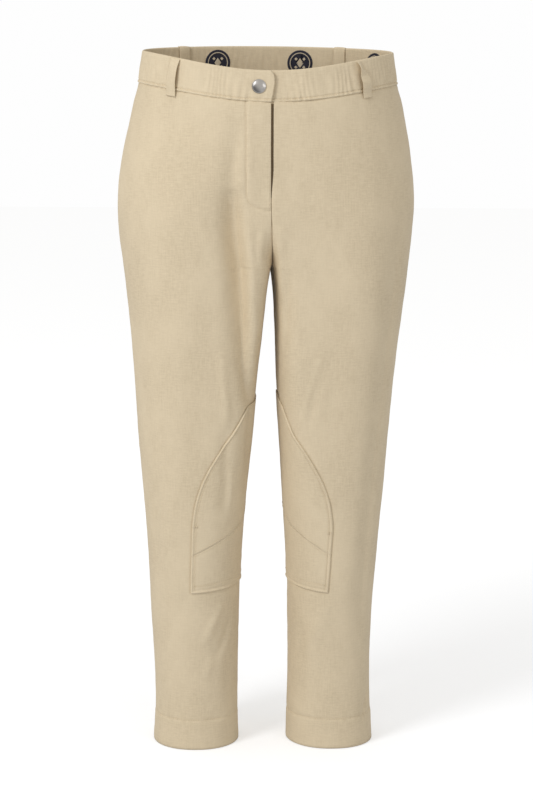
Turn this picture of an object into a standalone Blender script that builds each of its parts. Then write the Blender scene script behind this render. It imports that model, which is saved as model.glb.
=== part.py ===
"""Cropped riding trousers, filled out as if worn.  Blender 4.5, metres, +Z up.

The trousers face -Y, so the wearer's right is -X.  The origin is the middle of the waist opening,
level with the waistband's top edge at the sides.  Every piece of cloth is a wall whose two faces are
rows of points on one shape: a level section of half the garment, made from the tables below.
"""

import math
from collections import namedtuple

import bmesh
import bpy
import numpy as np
from mathutils import Matrix, Vector
from mathutils.geometry import delaunay_2d_cdt

MM = 0.001
RIGHT, LEFT = -1, 1
FRONT, BACK = -1, 1
SIDE_NAMES = {RIGHT: "right", LEFT: "left"}
HALF_NAMES = {FRONT: "front", BACK: "back"}

# ---- driving sizes ------------------------------------------------------------------------------

SEAM_GAP = 0.3 * MM          # between two pieces at a seam, or one laid on the other
CLOTH_WALL = 1.4 * MM        # cotton twill with its seam allowances
HEM_WALL = 2.8 * MM          # the same, turned up once
HEM_DEPTH = 38 * MM
HEM_STEP = 1.0 * MM          # the height over which the wall goes from one to the other
BAND_DEPTH = 39 * MM
BAND_PROUD = 0.6 * MM        # the waistband stands this far outside the panels
BAND_WALL = 2.4 * MM
FLOOR = -914.5 * MM          # height of the hems
CROTCH = -267 * MM           # where the four inner seams meet

WAIST_DIP_FRONT = -21 * MM   # the top edge at the centre front, from its height at the sides
WAIST_RISE_BACK = 4.5 * MM
DIP_ROUND_FRONT = 2.4        # how sharply the dip is gathered at the centre front
DIP_ROUND_BACK = 0.9
DIP_ENDS = -220 * MM         # below this the rows are level

FLY_FOOT = -184 * MM         # where the opening ends and the centre seam begins
FLY_WIDTH = 29 * MM          # from the opening's edge to the topstitched curve
FLY_SLIT = 3.4 * MM          # how far the left front stands back from the right one's edge
FLY_CLOSES = 45 * MM         # above its foot, where the slit reaches its full width
FLY_RAISED = 0.7 * MM        # the right front bows out over the zip
FLY_SUNK = 0.9 * MM          # and the left front lies back

# ---- the garment's outline from the front, mm ----------------------------------------------------
# outer: side seam to the middle.  inner: half the gap between the legs.
# sway: how far the side seams lie to the left of true.  middle: x of the centre seam and the gap.
Outline = namedtuple("Outline", "height outer inner sway middle")
OUTLINE = (
    Outline(+12, 158.5, 0.0, -1.5, -3.4),
    Outline(-20, 163.4, 0.0, -1.5, -3.4),
    Outline(-45, 167.0, 0.0, -1.4, -3.4),
    Outline(-60, 171.4, 0.0, -1.2, -3.4),
    Outline(-90, 178.0, 0.0, -1.2, -3.3),
    Outline(-140, 187.6, 0.0, -2.0, -2.9),
    Outline(-190, 192.4, 0.0, -2.1, -1.8),
    Outline(-240, 189.6, 0.0, -2.4, 0.8),
    Outline(-267, 186.2, 0.0, -2.2, 2.3),
    Outline(-300, 182.4, 4.2, -2.0, 2.4),
    Outline(-350, 176.4, 9.0, -2.5, 1.5),
    Outline(-420, 169.8, 13.6, -3.4, -1.1),
    Outline(-500, 163.6, 19.2, -4.4, -1.0),
    Outline(-580, 157.2, 25.2, -3.6, -2.2),
    Outline(-660, 151.4, 30.4, -3.5, -2.2),
    Outline(-740, 147.0, 32.4, -4.2, -2.0),
    Outline(-820, 144.3, 33.4, -2.2, -1.8),
    Outline(-870, 144.6, 33.0, -1.0, -2.2),
    Outline(-915, 147.0, 32.4, -0.6, -1.8),
)

# ---- the outline from the side, mm ---------------------------------------------------------------
# front, back: y of the foremost and rearmost cloth.  side: y of the side seam.  inseam: y of the
# inner seam.  peaks: where the foremost and rearmost cloth lies, 0 at the middle, 1 at the side.
# press: how flat the inner faces of the legs are in front, 2 for round; less behind.
Profile = namedtuple("Profile", "height front back side inseam front_peak back_peak press")
PROFILE = (
    Profile(+12, -104, 103, 3, 12, 0.00, 0.00, 3.8),
    Profile(-20, -105, 107, 4, 12, 0.00, 0.02, 3.8),
    Profile(-60, -109, 116, 6, 12, 0.02, 0.12, 3.8),
    Profile(-90, -110, 125, 8, 12, 0.08, 0.22, 3.8),
    Profile(-140, -109, 138, 10, 12, 0.22, 0.36, 3.8),
    Profile(-190, -106, 145, 12, 12, 0.37, 0.43, 5.0),
    Profile(-240, -102, 139, 12, 12, 0.45, 0.46, 6.6),
    Profile(-290, -98, 121, 9, 12, 0.49, 0.49, 7.0),
    Profile(-350, -93, 104, 5, 8, 0.50, 0.50, 5.8),
    Profile(-420, -87, 91, 1, 3, 0.50, 0.50, 4.4),
    Profile(-500, -80, 77, -3, -1, 0.50, 0.50, 3.2),
    Profile(-580, -73, 65, -4, -2, 0.50, 0.50, 2.5),
    Profile(-660, -65, 64, 0, 1, 0.50, 0.50, 2.1),
    Profile(-740, -57, 67, 5, 5, 0.50, 0.50, 2.1),
    Profile(-820, -51, 68, 8, 8, 0.50, 0.50, 2.1),
    Profile(-870, -50, 68, 9, 9, 0.50, 0.50, 2.1),
    Profile(-915, -51, 69, 10, 10, 0.50, 0.50, 2.1),
)
BACK_PRESS = 0.4
SHARES = ("front_peak", "back_peak", "press")      # the columns that are not in mm
OUTER_ROUND = 2.2            # roundness of the cloth from a peak to the side seam, 2 for an ellipse
SEAT_STARTS = {FRONT: -196 * MM, BACK: -172 * MM}   # where the centre seams turn in to the crotch
SEAM_HOLD = 10               # how closely the cloth beside a centre seam keeps to that seam

# ---- the largest folds, mm and degrees -----------------------------------------------------------
# from and to: where a fold starts and ends, its height and its turn round the leg's middle: 0 faces
# front, 90 the side seam, 180 back, -90 the inseam.  width: from its middle to where it has faded.
# rise: how far it stands out, or in if below 0.
Fold = namedtuple("Fold", "side from_height from_turn to_height to_turn width rise")
FOLDS = (
    Fold(RIGHT, -95, -25, -262, -10, 15, -2.4),
    Fold(RIGHT, -235, -18, -620, -16, 20, -4.2),
    Fold(RIGHT, -300, -48, -560, -50, 15, 2.0),
    Fold(RIGHT, -560, 52, -800, 40, 18, 1.8),
    Fold(RIGHT, -720, -14, -860, -34, 15, -1.8),
    Fold(LEFT, -190, -18, -300, -50, 16, 2.0),
    Fold(LEFT, -200, 48, -660, 44, 24, -3.8),
    Fold(LEFT, -330, -2, -560, -12, 20, 1.8),
    Fold(LEFT, -700, 6, -860, 24, 16, -1.8),
    Fold(RIGHT, -235, 205, -330, 150, 20, -3.2),
    Fold(LEFT, -240, 200, -335, 146, 20, -3.0),
    Fold(RIGHT, -470, 205, -640, 172, 18, -3.2),
    Fold(LEFT, -480, 186, -650, 210, 18, -3.0),
    Fold(RIGHT, -560, 140, -760, 150, 18, 2.0),
    Fold(LEFT, -570, 136, -770, 148, 18, 2.0),
)

FOLD_STARTS = 14 * MM        # a fold dies out this near the centre seams

# ---- the knee patches, mm ------------------------------------------------------------------------
# right, left: from the inseam to that leg's patch edge along the cloth, to the front and the back.
Patch = namedtuple("Patch", "height right left")
PATCH_EDGE = (
    Patch(-440, 5, 4),
    Patch(-444, 40, 32),
    Patch(-449, 66, 50),
    Patch(-456, 74.5, 57.5),
    Patch(-468, 81, 64),
    Patch(-486, 89, 71.5),
    Patch(-505, 97.5, 82),
    Patch(-530, 107, 93),
    Patch(-558, 113, 101.5),
    Patch(-580, 114.5, 104),
    Patch(-600, 113.5, 103.5),
    Patch(-645, 108.5, 96),
    Patch(-704, 104.5, 88),
)
PATCH_FOOT = -691 * MM       # height of the patch's lower edge at the inseam
PATCH_FOOT_FALL = 8 * MM     # how much lower that edge is at the patch's side
PATCH_SEAM = -590 * MM       # height of the slanting seam at the inseam
PATCH_SEAM_FALL = 57 * MM
PATCH_WALL = 1.2 * MM
PATCH_SIDE_STEPS = 14        # stretches of a patch's edge from its top to its seam
PATCH_LOWER_STEPS = 4        # and from the seam to its foot
PATCH_ACROSS_STEPS = 4       # and from the inseam to its side
PATCH_CROWDING = 1.7         # above 1 they crowd toward the top, where the edge turns most

# ---- belt loops, fastenings and discs ------------------------------------------------------------

LOOP_WALL = 1.2 * MM
# from_middle: along the waist from the centre seam.  slant: how far the lower end is from below it.
Loop = namedtuple("Loop", "name side half from_middle width slant")
LOOPS = (
    Loop("belt_loop_front_right", RIGHT, FRONT, 123, 14, 5),
    Loop("belt_loop_front_left", LEFT, FRONT, 115, 13, 10),
    Loop("belt_loop_back_right", RIGHT, BACK, 108, 16, 0),
    Loop("belt_loop_back_left", LEFT, BACK, 104, 16, 0),
)
# A loop's middle line: height from the band's top edge at the side, and how far out of the cloth.
LoopPoint = namedtuple("LoopPoint", "height lift")
FRONT_LOOP_LINE = (
    LoopPoint(-48.0, 1.0),
    LoopPoint(-43.5, 1.1),
    LoopPoint(-39.0, 2.1),
    LoopPoint(-33.0, 3.9),
    LoopPoint(-20.0, 4.6),
    LoopPoint(-9.0, 3.6),
    LoopPoint(-2.5, 1.7),
    LoopPoint(-0.2, 1.55),
)
BACK_LOOP_LINE = (
    LoopPoint(-45.5, 1.0),
    LoopPoint(-42.0, 1.1),
    LoopPoint(-38.5, 2.0),
    LoopPoint(-33.0, 3.7),
    LoopPoint(-20.0, 4.4),
    LoopPoint(-8.0, 3.4),
    LoopPoint(-1.0, 1.8),
    LoopPoint(0.9, 1.0),
    LoopPoint(1.3, -0.6),
    LoopPoint(0.8, -2.2),
    LoopPoint(-1.5, -3.0),
    LoopPoint(-12.0, -4.0),
    LoopPoint(-26.0, -4.0),
    LoopPoint(-36.0, -2.9),
)

BAND_ROUND = 0.9 * MM        # the rounding of the waistband's top edge
LAP_BULGE = 4.2 * MM         # how far the lap's end bows past the centre
LAP_BULGE_HIGH = 0.55        # below 1 the bow is fullest above the middle of the band
LAP_UNDER = 34 * MM          # how far the left end runs on behind the lap
LAP_UNDER_STEPS = 3
LAP_SUNK = 3.0 * MM          # how far behind the lap it lies
LAP_BLEND = 34 * MM          # the stretch over which it sinks
LAP_FULL = 8 * MM            # before the centre, where it has sunk
LAP_CROWDING = 0.8           # below 1 the columns crowd toward the stretch where it sinks

SNAP_RADIUS = 8.8 * MM
SNAP_HEIGHT = 2.6 * MM
SNAP_FROM_MIDDLE = 15 * MM
SNAP_CLEAR = 0.5 * MM        # a flat disc on a round waist
SNAP_DROP = 19.5 * MM        # from the band's top edge to the middle of the snap
SNAP_RIM = 0.7 * MM          # height of the cap's straight edge
SNAP_RINGS = 6
STUD_RADIUS = 6.0 * MM
STUD_TOP_RADIUS = 3.3 * MM
STUD_HEIGHT = 2.0 * MM
STUD_RIM = 0.8 * MM
STAND_REACH = 6 * MM         # the cloth this far round a fitting gives its direction

DISC_RADIUS = 17 * MM
DISC_WALL = 1.0 * MM
DISC_CLEAR = 0.4 * MM
DISC_DROP = 20.5 * MM
DISC_FROM_BACK = {RIGHT: (60 * MM, 170 * MM), LEFT: (50 * MM, 160 * MM)}

ZIP_WALL = 1.0 * MM
ZIP_HALF_WIDTH = 14 * MM
SHIELD_WALL = 1.2 * MM
SHIELD_TO_LEFT = 16 * MM
SHIELD_TO_RIGHT = 27 * MM
FLY_TOP = -61.5 * MM         # the zip and its shield start just under the waistband
FLY_SHORT = 6 * MM           # and end this far above the fly's foot
FLY_GRID = (8, 7)            # their rows and columns

# ---- how fine the faces are ----------------------------------------------------------------------

CELL_TRIANGLES = (((0, 0), (0, 1), (1, 1)), ((0, 0), (1, 1), (1, 0)))   # corners, row and column
INNER_STEPS = 6              # columns from the inner seam to the foremost or rearmost cloth
OUTER_STEPS = 7              # columns from there to the side seam
PANEL_STEPS = INNER_STEPS + OUTER_STEPS
EVEN_COLUMNS_END = -105 * MM # above this the columns are evenly spaced
SET_COLUMNS_START = -185 * MM   # below this they keep to a section's foremost and rearmost points
SEAT_TOP = -178 * MM
SEAT_ROWS = 6                # rows from there to the crotch, closer together as its seams turn in
LEG_ROWS = 23
HIP_ROWS = (-39, -52, -72, -96, -122, -150)
BAND_STEPS = 20              # columns of the waistband in a quarter of the waist
ARC_POINTS = 28              # points on each arc of a section before it is stepped off
PROBE = 0.3 * MM             # half the stretch of a section that gives its direction


def smoothstep(share):
    share = np.clip(share, 0.0, 1.0)
    return share * share * (3.0 - 2.0 * share)


def read_table(table, column, height):
    """A table's column at these heights, on a smooth curve through its rows; mm in, metres out."""
    rows = sorted(table, key=lambda row: row.height)
    knots = np.array([row.height for row in rows], dtype=float)
    values = np.array([getattr(row, column) for row in rows], dtype=float)
    slopes = np.gradient(values, knots)
    level = np.clip(np.asarray(height, dtype=float) / MM, knots[0], knots[-1])
    low = np.clip(np.searchsorted(knots, level, side="right") - 1, 0, len(knots) - 2)
    span = knots[low + 1] - knots[low]
    t = (level - knots[low]) / span
    curve = (values[low] * (1 + 2 * t) * (1 - t) ** 2 + values[low + 1] * t * t * (3 - 2 * t)
             + span * (slopes[low] * t * (1 - t) ** 2 - slopes[low + 1] * t * t * (1 - t)))
    return curve if column in SHARES else curve * MM


def quarter_section(side, half, height):
    """Points of a quarter of the level section at each height, from the inner seam to the side seam."""
    height = np.asarray(height, dtype=float)[..., None]
    middle = read_table(OUTLINE, "middle", height)
    inner = np.maximum(read_table(OUTLINE, "inner", height), 0.0) + SEAM_GAP / 2
    inner = np.where(height > CROTCH, SEAM_GAP / 2, inner)
    inner_x = middle + side * inner
    outer_x = read_table(OUTLINE, "sway", height) + side * read_table(OUTLINE, "outer", height)
    column = "front" if half == FRONT else "back"
    peak_x = inner_x + (outer_x - inner_x) * read_table(PROFILE, column + "_peak", height)
    peak_y = read_table(PROFILE, column, height)
    side_y = read_table(PROFILE, "side", height)
    inseam_y = read_table(PROFILE, "inseam", height)
    # The centre seam leaves the peak line where the seat starts and reaches the inseam at the crotch.
    start = SEAT_STARTS[half]
    turn = np.clip((start - height) / (start - CROTCH), 0.0, 1.0)
    press = read_table(PROFILE, "press", height)
    press = press if half == FRONT else 2 + (press - 2) * BACK_PRESS
    angle = np.linspace(0.0, math.pi / 2, ARC_POINTS)
    sine, cosine = np.sin(angle), np.clip(np.cos(angle), 0.0, 1.0)
    # Beside that seam the cloth turns in more gently, so that nothing juts out over the leg.
    hold = cosine ** SEAM_HOLD
    pull = hold * (1.0 - np.sqrt(1.0 - turn ** 2)) + (1.0 - hold) * smoothstep(turn) ** 2
    inner_arc = np.stack([inner_x + (peak_x - inner_x) * (1 - cosine ** (2 / press)),
                          peak_y + (inseam_y - peak_y) * pull * (1 - sine ** (2 / press))], axis=-1)
    outer_arc = np.stack([peak_x + (outer_x - peak_x) * sine ** (2 / OUTER_ROUND),
                          side_y + (peak_y - side_y) * cosine ** (2 / OUTER_ROUND)], axis=-1)
    return np.concatenate([inner_arc, outer_arc[..., 1:, :]], axis=-2)


def step_off(points, along):
    """The points this far along each line of points."""
    steps = np.linalg.norm(np.diff(points, axis=-2), axis=-1)
    reached = np.concatenate([np.zeros(steps.shape[:-1] + (1,)), np.cumsum(steps, axis=-1)], axis=-1)
    along = np.clip(along, 0.0, reached[..., -1])[..., None]
    low = np.clip(np.sum(reached <= along, axis=-1, keepdims=True) - 1, 0, steps.shape[-1] - 1)
    start = np.take_along_axis(reached, low, axis=-1)
    step = np.maximum(np.take_along_axis(steps, low, axis=-1), 1e-9)
    share = np.clip((along - start) / step, 0.0, 1.0)
    here = np.take_along_axis(points, low[..., None], axis=-2)[..., 0, :]
    after = np.take_along_axis(points, low[..., None] + 1, axis=-2)[..., 0, :]
    return here + (after - here) * share


def quarter_length(side, half, height):
    """How long the cloth is from the inner seam to the side seam at each height."""
    points = quarter_section(side, half, height)
    return np.linalg.norm(np.diff(points, axis=-2), axis=-1).sum(axis=-1)


def fold_rise(side, spots, height):
    """How far the folds lift the cloth at these (x, y) spots."""
    inner = read_table(OUTLINE, "middle", height) + side * read_table(OUTLINE, "inner", height)
    outer = read_table(OUTLINE, "sway", height) + side * read_table(OUTLINE, "outer", height)
    out = side * (spots[..., 0] - (inner + outer) / 2)
    forward = (read_table(PROFILE, "front", height) + read_table(PROFILE, "back", height)) / 2 - spots[..., 1]
    turn = np.degrees(np.arctan2(out, forward))
    rise = np.zeros_like(out)
    for fold in FOLDS:
        if fold.side != side:
            continue
        share = (fold.from_height * MM - height) / ((fold.from_height - fold.to_height) * MM)
        line = fold.from_turn + (fold.to_turn - fold.from_turn) * share
        angle = (turn - line + 180) % 360 - 180
        across = np.radians(angle) * np.hypot(out, forward) / (fold.width * MM)
        fade = np.sin(math.pi * np.clip(share, 0.0, 1.0)) ** 0.8
        rise += fold.rise * MM * fade * np.exp(-2.0 * across ** 2)
    # Above the crotch a fold dies out at the centre seams, where the two sides meet.
    to_middle = np.abs(spots[..., 0] - read_table(OUTLINE, "middle", height))
    return rise * np.where(height > CROTCH - 2 * FOLD_STARTS, smoothstep(to_middle / FOLD_STARTS), 1.0)


def fly_open(height):
    """1 along the fly's opening, 0 below its foot."""
    return smoothstep((height - FLY_FOOT) / FLY_CLOSES)


def cloth(side, half, along, height, lift=0.0, folds=True):
    """Points on the cloth, and level directions out of it; without folds, on its plain form.

    along runs from the inner seam to the side seam.  Below zero it goes on over that seam: to the
    other side of the garment above the crotch, and round the leg below it.
    """
    along, height = np.broadcast_arrays(np.asarray(along, float), np.asarray(height, float))
    points = np.zeros(along.shape + (3,))
    outward = np.zeros(along.shape + (3,))
    above = height > CROTCH
    cases = ((along >= 0, side, half), ((along < 0) & above, -side, half),
             ((along < 0) & ~above, side, -half))
    for mask, this_side, this_half in cases:
        if not mask.any():
            continue
        reach, level = np.abs(along[mask]), height[mask]
        section = quarter_section(this_side, this_half, level)
        spots = step_off(section, reach)
        tangent = step_off(section, reach + PROBE) - step_off(section, np.maximum(reach - PROBE, 0.0))
        tangent /= np.maximum(np.linalg.norm(tangent, axis=-1, keepdims=True), 1e-12)
        turn = this_side * this_half
        normal = np.stack([-tangent[..., 1] * turn, tangent[..., 0] * turn], axis=-1)
        rise = np.broadcast_to(lift, along.shape)[mask] * 1.0
        if folds:
            rise += fold_rise(this_side, spots, level)
        if folds and this_half == FRONT:
            near_fly = fly_open(level) * (1 - smoothstep((reach - FLY_WIDTH / 2) / FLY_WIDTH))
            rise += near_fly * (FLY_RAISED if this_side == RIGHT else -FLY_SUNK)
        points[mask] = np.concatenate([spots + normal * rise[..., None],
                                       level[..., None]], axis=-1)
        outward[mask] = np.concatenate([normal, np.zeros_like(level)[..., None]], axis=-1)
    return points, outward


def row_height(half, share, height):
    """The height of a row of cloth that is level at the side seam, at a share of the way to it."""
    cosine = np.cos(np.clip(np.abs(share), 0.0, 1.0) * math.pi / 2)
    fade = smoothstep((height - DIP_ENDS) / -DIP_ENDS)
    if half == FRONT:
        return height + WAIST_DIP_FRONT * cosine ** DIP_ROUND_FRONT * fade
    return height + WAIST_RISE_BACK * cosine ** DIP_ROUND_BACK * fade


# ---- making meshes -------------------------------------------------------------------------------

def new_collection(name):
    collection = bpy.data.collections.new(name)
    bpy.context.scene.collection.children.link(collection)
    return collection


def make_material(name, colour, roughness, metallic=0.0):
    material = bpy.data.materials.new(name)
    material.use_nodes = True
    shader = material.node_tree.nodes["Principled BSDF"]
    shader.inputs["Base Color"].default_value = (*colour, 1.0)
    shader.inputs["Roughness"].default_value = roughness
    shader.inputs["Metallic"].default_value = metallic
    return material


def add_object(name, mesh, material, collection, smooth_angle=40.0):
    mesh.materials.clear()
    mesh.materials.append(material)
    mesh.shade_smooth()
    mesh.set_sharp_from_angle(angle=math.radians(smooth_angle))
    thing = bpy.data.objects.new(name, mesh)
    collection.objects.link(thing)
    return thing


def wall(name, outside, inside, material, collection):
    """A closed wall between two grids of points with the same rows and columns."""
    rows, columns = outside.shape[:2]
    mesh_data = bmesh.new()
    faces = [[[mesh_data.verts.new(Vector(point)) for point in row] for row in grid]
             for grid in (outside, inside)]
    outer, inner = faces
    for i in range(rows - 1):
        for j in range(columns - 1):
            for a, b, c in CELL_TRIANGLES:
                mesh_data.faces.new([outer[i + di][j + dj] for di, dj in (a, b, c)])
                mesh_data.faces.new([inner[i + di][j + dj] for di, dj in (c, b, a)])
    rim = [(0, j) for j in range(columns)] + [(i, columns - 1) for i in range(1, rows)]
    rim += [(rows - 1, j) for j in range(columns - 2, -1, -1)] + [(i, 0) for i in range(rows - 2, 0, -1)]
    for (i, j), (k, m) in zip(rim, rim[1:] + rim[:1]):
        mesh_data.faces.new((outer[k][m], outer[i][j], inner[i][j], inner[k][m]))
    bmesh.ops.recalc_face_normals(mesh_data, faces=mesh_data.faces)
    if mesh_data.calc_volume(signed=True) < 0:
        bmesh.ops.reverse_faces(mesh_data, faces=mesh_data.faces)
    mesh = bpy.data.meshes.new(name)
    mesh_data.to_mesh(mesh)
    mesh_data.free()
    return add_object(name, mesh, material, collection)


def turned(name, profile, material, collection, segments=28):
    """A solid of revolution about +Z, from (radius, height) points that start and end on the axis."""
    mesh = bpy.data.meshes.new(name)
    points = [(radius, 0.0, height) for radius, height in profile]
    mesh.from_pydata(points, [(i, i + 1) for i in range(len(points) - 1)], [])
    thing = add_object(name, mesh, material, collection)
    screw = thing.modifiers.new("turn", "SCREW")
    screw.angle = math.tau
    screw.steps = segments
    screw.render_steps = segments
    screw.use_merge_vertices = True
    screw.merge_threshold = 0.00001
    return thing


# ---- the pieces ----------------------------------------------------------------------------------

def panel_heights():
    """The heights of a leg panel's rows at the side seam, from the waist to the hem."""
    hips = [row * MM for row in HIP_ROWS]
    turn = [math.sin(math.pi / 2 * i / SEAT_ROWS) for i in range(SEAT_ROWS + 1)]
    seat = [SEAT_TOP + (CROTCH - SEAT_TOP) * share for share in turn]
    hem_top = FLOOR + HEM_DEPTH
    legs = [CROTCH + (hem_top + HEM_STEP / 2 - CROTCH) * i / LEG_ROWS for i in range(1, LEG_ROWS + 1)]
    return np.array(hips + seat + legs + [hem_top - HEM_STEP / 2, FLOOR + HEM_DEPTH / 2, FLOOR])


def panel_columns(side, half, level):
    """How far along the cloth a panel's columns lie at each height."""
    points = quarter_section(side, half, level[:, 0])
    steps = np.linalg.norm(np.diff(points, axis=-2), axis=-1)
    reached = np.concatenate([np.zeros((len(steps), 1)), np.cumsum(steps, axis=-1)], axis=-1)
    marks = np.concatenate([np.linspace(0, 1, INNER_STEPS + 1), np.linspace(1, 2, OUTER_STEPS + 1)[1:]])
    marks *= ARC_POINTS - 1
    turned_in = np.array([np.interp(marks, np.arange(points.shape[1]), row) for row in reached])
    turned_in /= reached[:, -1:]
    even = np.linspace(0.0, 1.0, PANEL_STEPS + 1)[None, :]
    near = smoothstep((EVEN_COLUMNS_END - level) / (EVEN_COLUMNS_END - SET_COLUMNS_START))
    return (turned_in * near + even * (1 - near)) * quarter_length(side, half, level)


def panel_grid(side, half):
    """A panel's corners: how far along the cloth, how high, where, and which way is out."""
    share = np.linspace(0.0, 1.0, PANEL_STEPS + 1)[None, :]
    height = panel_heights()[:, None] * np.ones_like(share)
    height[0] -= SEAM_GAP / 2
    level = row_height(half, share, height)
    length = quarter_length(side, half, level)
    along = panel_columns(side, half, level)
    start = np.full_like(length, SEAM_GAP / 2)
    if (side, half) == (LEFT, FRONT):
        start = start + FLY_SLIT * fly_open(level)
    along = start + along * (length - SEAM_GAP / 2 - start) / length
    points, outward = cloth(side, half, along, level)
    return along, level, points, outward


def make_panel(side, half, grid, material, collection):
    """One front or back, from the waist seam to the hem; its wall doubles where the hem turns up."""
    along, level, outside, outward = grid
    thick = np.where(level < FLOOR + HEM_DEPTH, HEM_WALL, CLOTH_WALL)
    inside = outside - outward * thick[..., None]
    return wall(f"{HALF_NAMES[half]}_{SIDE_NAMES[side]}", outside, inside, material, collection)


def band_columns(height):
    """The waistband's run at one height, from the lap's end round the waist to the end beneath it.

    Each column is its quarter of the waist, its share of the way from the middle to the side seam,
    and how far it has sunk behind the lap.
    """
    quarter = float(quarter_length(LEFT, FRONT, height))
    steps = np.linspace(0.0, 1.0, BAND_STEPS + 1)
    down = min(max(-height / BAND_DEPTH, 0.0), 1.0)
    lap_end = -LAP_BULGE * math.sin(math.pi * down ** LAP_BULGE_HIGH) / quarter
    run = [(RIGHT, FRONT, lap_end + (1 - lap_end) * step, 0.0) for step in steps]
    run += [(RIGHT, BACK, 1 - step, 0.0) for step in steps[1:]]
    run += [(LEFT, BACK, step, 0.0) for step in steps[1:]]
    for step in np.linspace(0.0, 1.0, BAND_STEPS + 2)[1:] ** LAP_CROWDING:
        to_middle = (1 - step) * quarter
        run.append((LEFT, FRONT, 1 - step, float(smoothstep(1 - (to_middle - LAP_FULL) / LAP_BLEND))))
    for step in np.linspace(0.0, 1.0, LAP_UNDER_STEPS + 1)[1:]:
        run.append((RIGHT, FRONT, LAP_UNDER / quarter * step, 1.0))
    return run


def make_waistband(material, collection):
    """The waistband: one strip, its upper edge rounded, sunk where it passes behind its own lap."""
    heights = (0.0, -BAND_ROUND, -BAND_DEPTH / 3, -BAND_DEPTH * 2 / 3, -BAND_DEPTH + SEAM_GAP / 2)
    outer_rows, inner_rows = [], []
    for height in heights:
        side, half, share, sunk = (np.array(column) for column in zip(*band_columns(height)))
        drawn_in = BAND_ROUND if height > -BAND_ROUND else 0.0
        outer_row, inner_row = [], []
        for k in range(len(share)):
            level = row_height(half[k], share[k], height)
            along = share[k] * quarter_length(side[k], half[k], level)
            point, outward = cloth(side[k], half[k], along, level, folds=False)
            lift = BAND_PROUD - sunk[k] * LAP_SUNK
            outer_row.append(point + outward * (lift - drawn_in))
            inner_row.append(point + outward * (lift - BAND_WALL + drawn_in))
        outer_rows.append(outer_row)
        inner_rows.append(inner_row)
    return wall("waistband", np.array(outer_rows), np.array(inner_rows), material, collection)


def strip_behind_fly(name, to_right, to_left, foot, lift, thick, material, collection):
    """A strip of cloth behind the fly's opening, across the centre line."""
    rows, columns = FLY_GRID
    height = np.linspace(FLY_TOP, foot, rows)[:, None]
    along = np.linspace(-to_left, to_right, columns)[None, :]
    points, outward = cloth(RIGHT, FRONT, along, height, folds=False)
    outside = points + outward * lift
    return wall(name, outside, outside - outward * thick, material, collection)


def make_fly(cloth_material, tape_material, collection):
    tape_lift = -(FLY_SUNK + CLOTH_WALL + SEAM_GAP)
    shield_lift = tape_lift - ZIP_WALL - SEAM_GAP
    foot = FLY_FOOT + FLY_SHORT
    strip_behind_fly("fly_zip", ZIP_HALF_WIDTH, ZIP_HALF_WIDTH, foot, tape_lift, ZIP_WALL,
                     tape_material, collection)
    strip_behind_fly("fly_shield", SHIELD_TO_RIGHT, SHIELD_TO_LEFT, foot, shield_lift, SHIELD_WALL,
                     cloth_material, collection)


def patch_outline(side, lower):
    """The corners of a patch's piece, as (along, height), along being below zero behind the inseam."""
    column = SIDE_NAMES[side]

    def corner(across, share):
        seam = PATCH_SEAM - PATCH_SEAM_FALL * abs(across)
        if lower:
            top, foot = seam - SEAM_GAP / 2, PATCH_FOOT - PATCH_FOOT_FALL * abs(across)
        else:
            top, foot = PATCH_EDGE[0].height * MM, seam + SEAM_GAP / 2
        height = top + (foot - top) * share
        return (across * float(read_table(PATCH_EDGE, column, height)), height)

    if lower:
        downs = np.linspace(0.0, 1.0, PATCH_LOWER_STEPS + 1)
    else:
        downs = np.linspace(0.0, 1.0, PATCH_SIDE_STEPS + 1) ** PATCH_CROWDING
    acrosses = np.linspace(1.0, -1.0, 2 * PATCH_ACROSS_STEPS + 1)
    outline = [corner(1.0, share) for share in downs]
    outline += [corner(across, 1.0) for across in acrosses[1:]]
    outline += [corner(-1.0, share) for share in downs[::-1][1:]]
    if lower:
        outline += [corner(across, 0.0) for across in acrosses[::-1][1:-1]]
    return outline


def is_inside(spot, outline):
    inside = False
    for (x1, y1), (x2, y2) in zip(outline, outline[1:] + outline[:1]):
        if (y1 > spot[1]) != (y2 > spot[1]) and spot[0] < x1 + (spot[1] - y1) * (x2 - x1) / (y2 - y1):
            inside = not inside
    return inside


def leg_cells(side, grids):
    """A leg's two panels as one sheet, joined over the inseam: flat spots, points and outward."""
    along_front, level, front, out_front = grids[side, FRONT]
    along_back, _, back, out_back = grids[side, BACK]
    flat = np.stack([np.concatenate([-along_back[:, :0:-1], 0 * level[:, :1], along_front[:, 1:]], axis=1),
                     np.concatenate([level[:, :0:-1], level], axis=1)], axis=-1)
    seam = (front[:, :1] + back[:, :1]) / 2
    points = np.concatenate([back[:, :0:-1], seam, front[:, 1:]], axis=1)
    out = np.concatenate([out_back[:, :0:-1], out_front], axis=1)
    return flat, points, out


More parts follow.
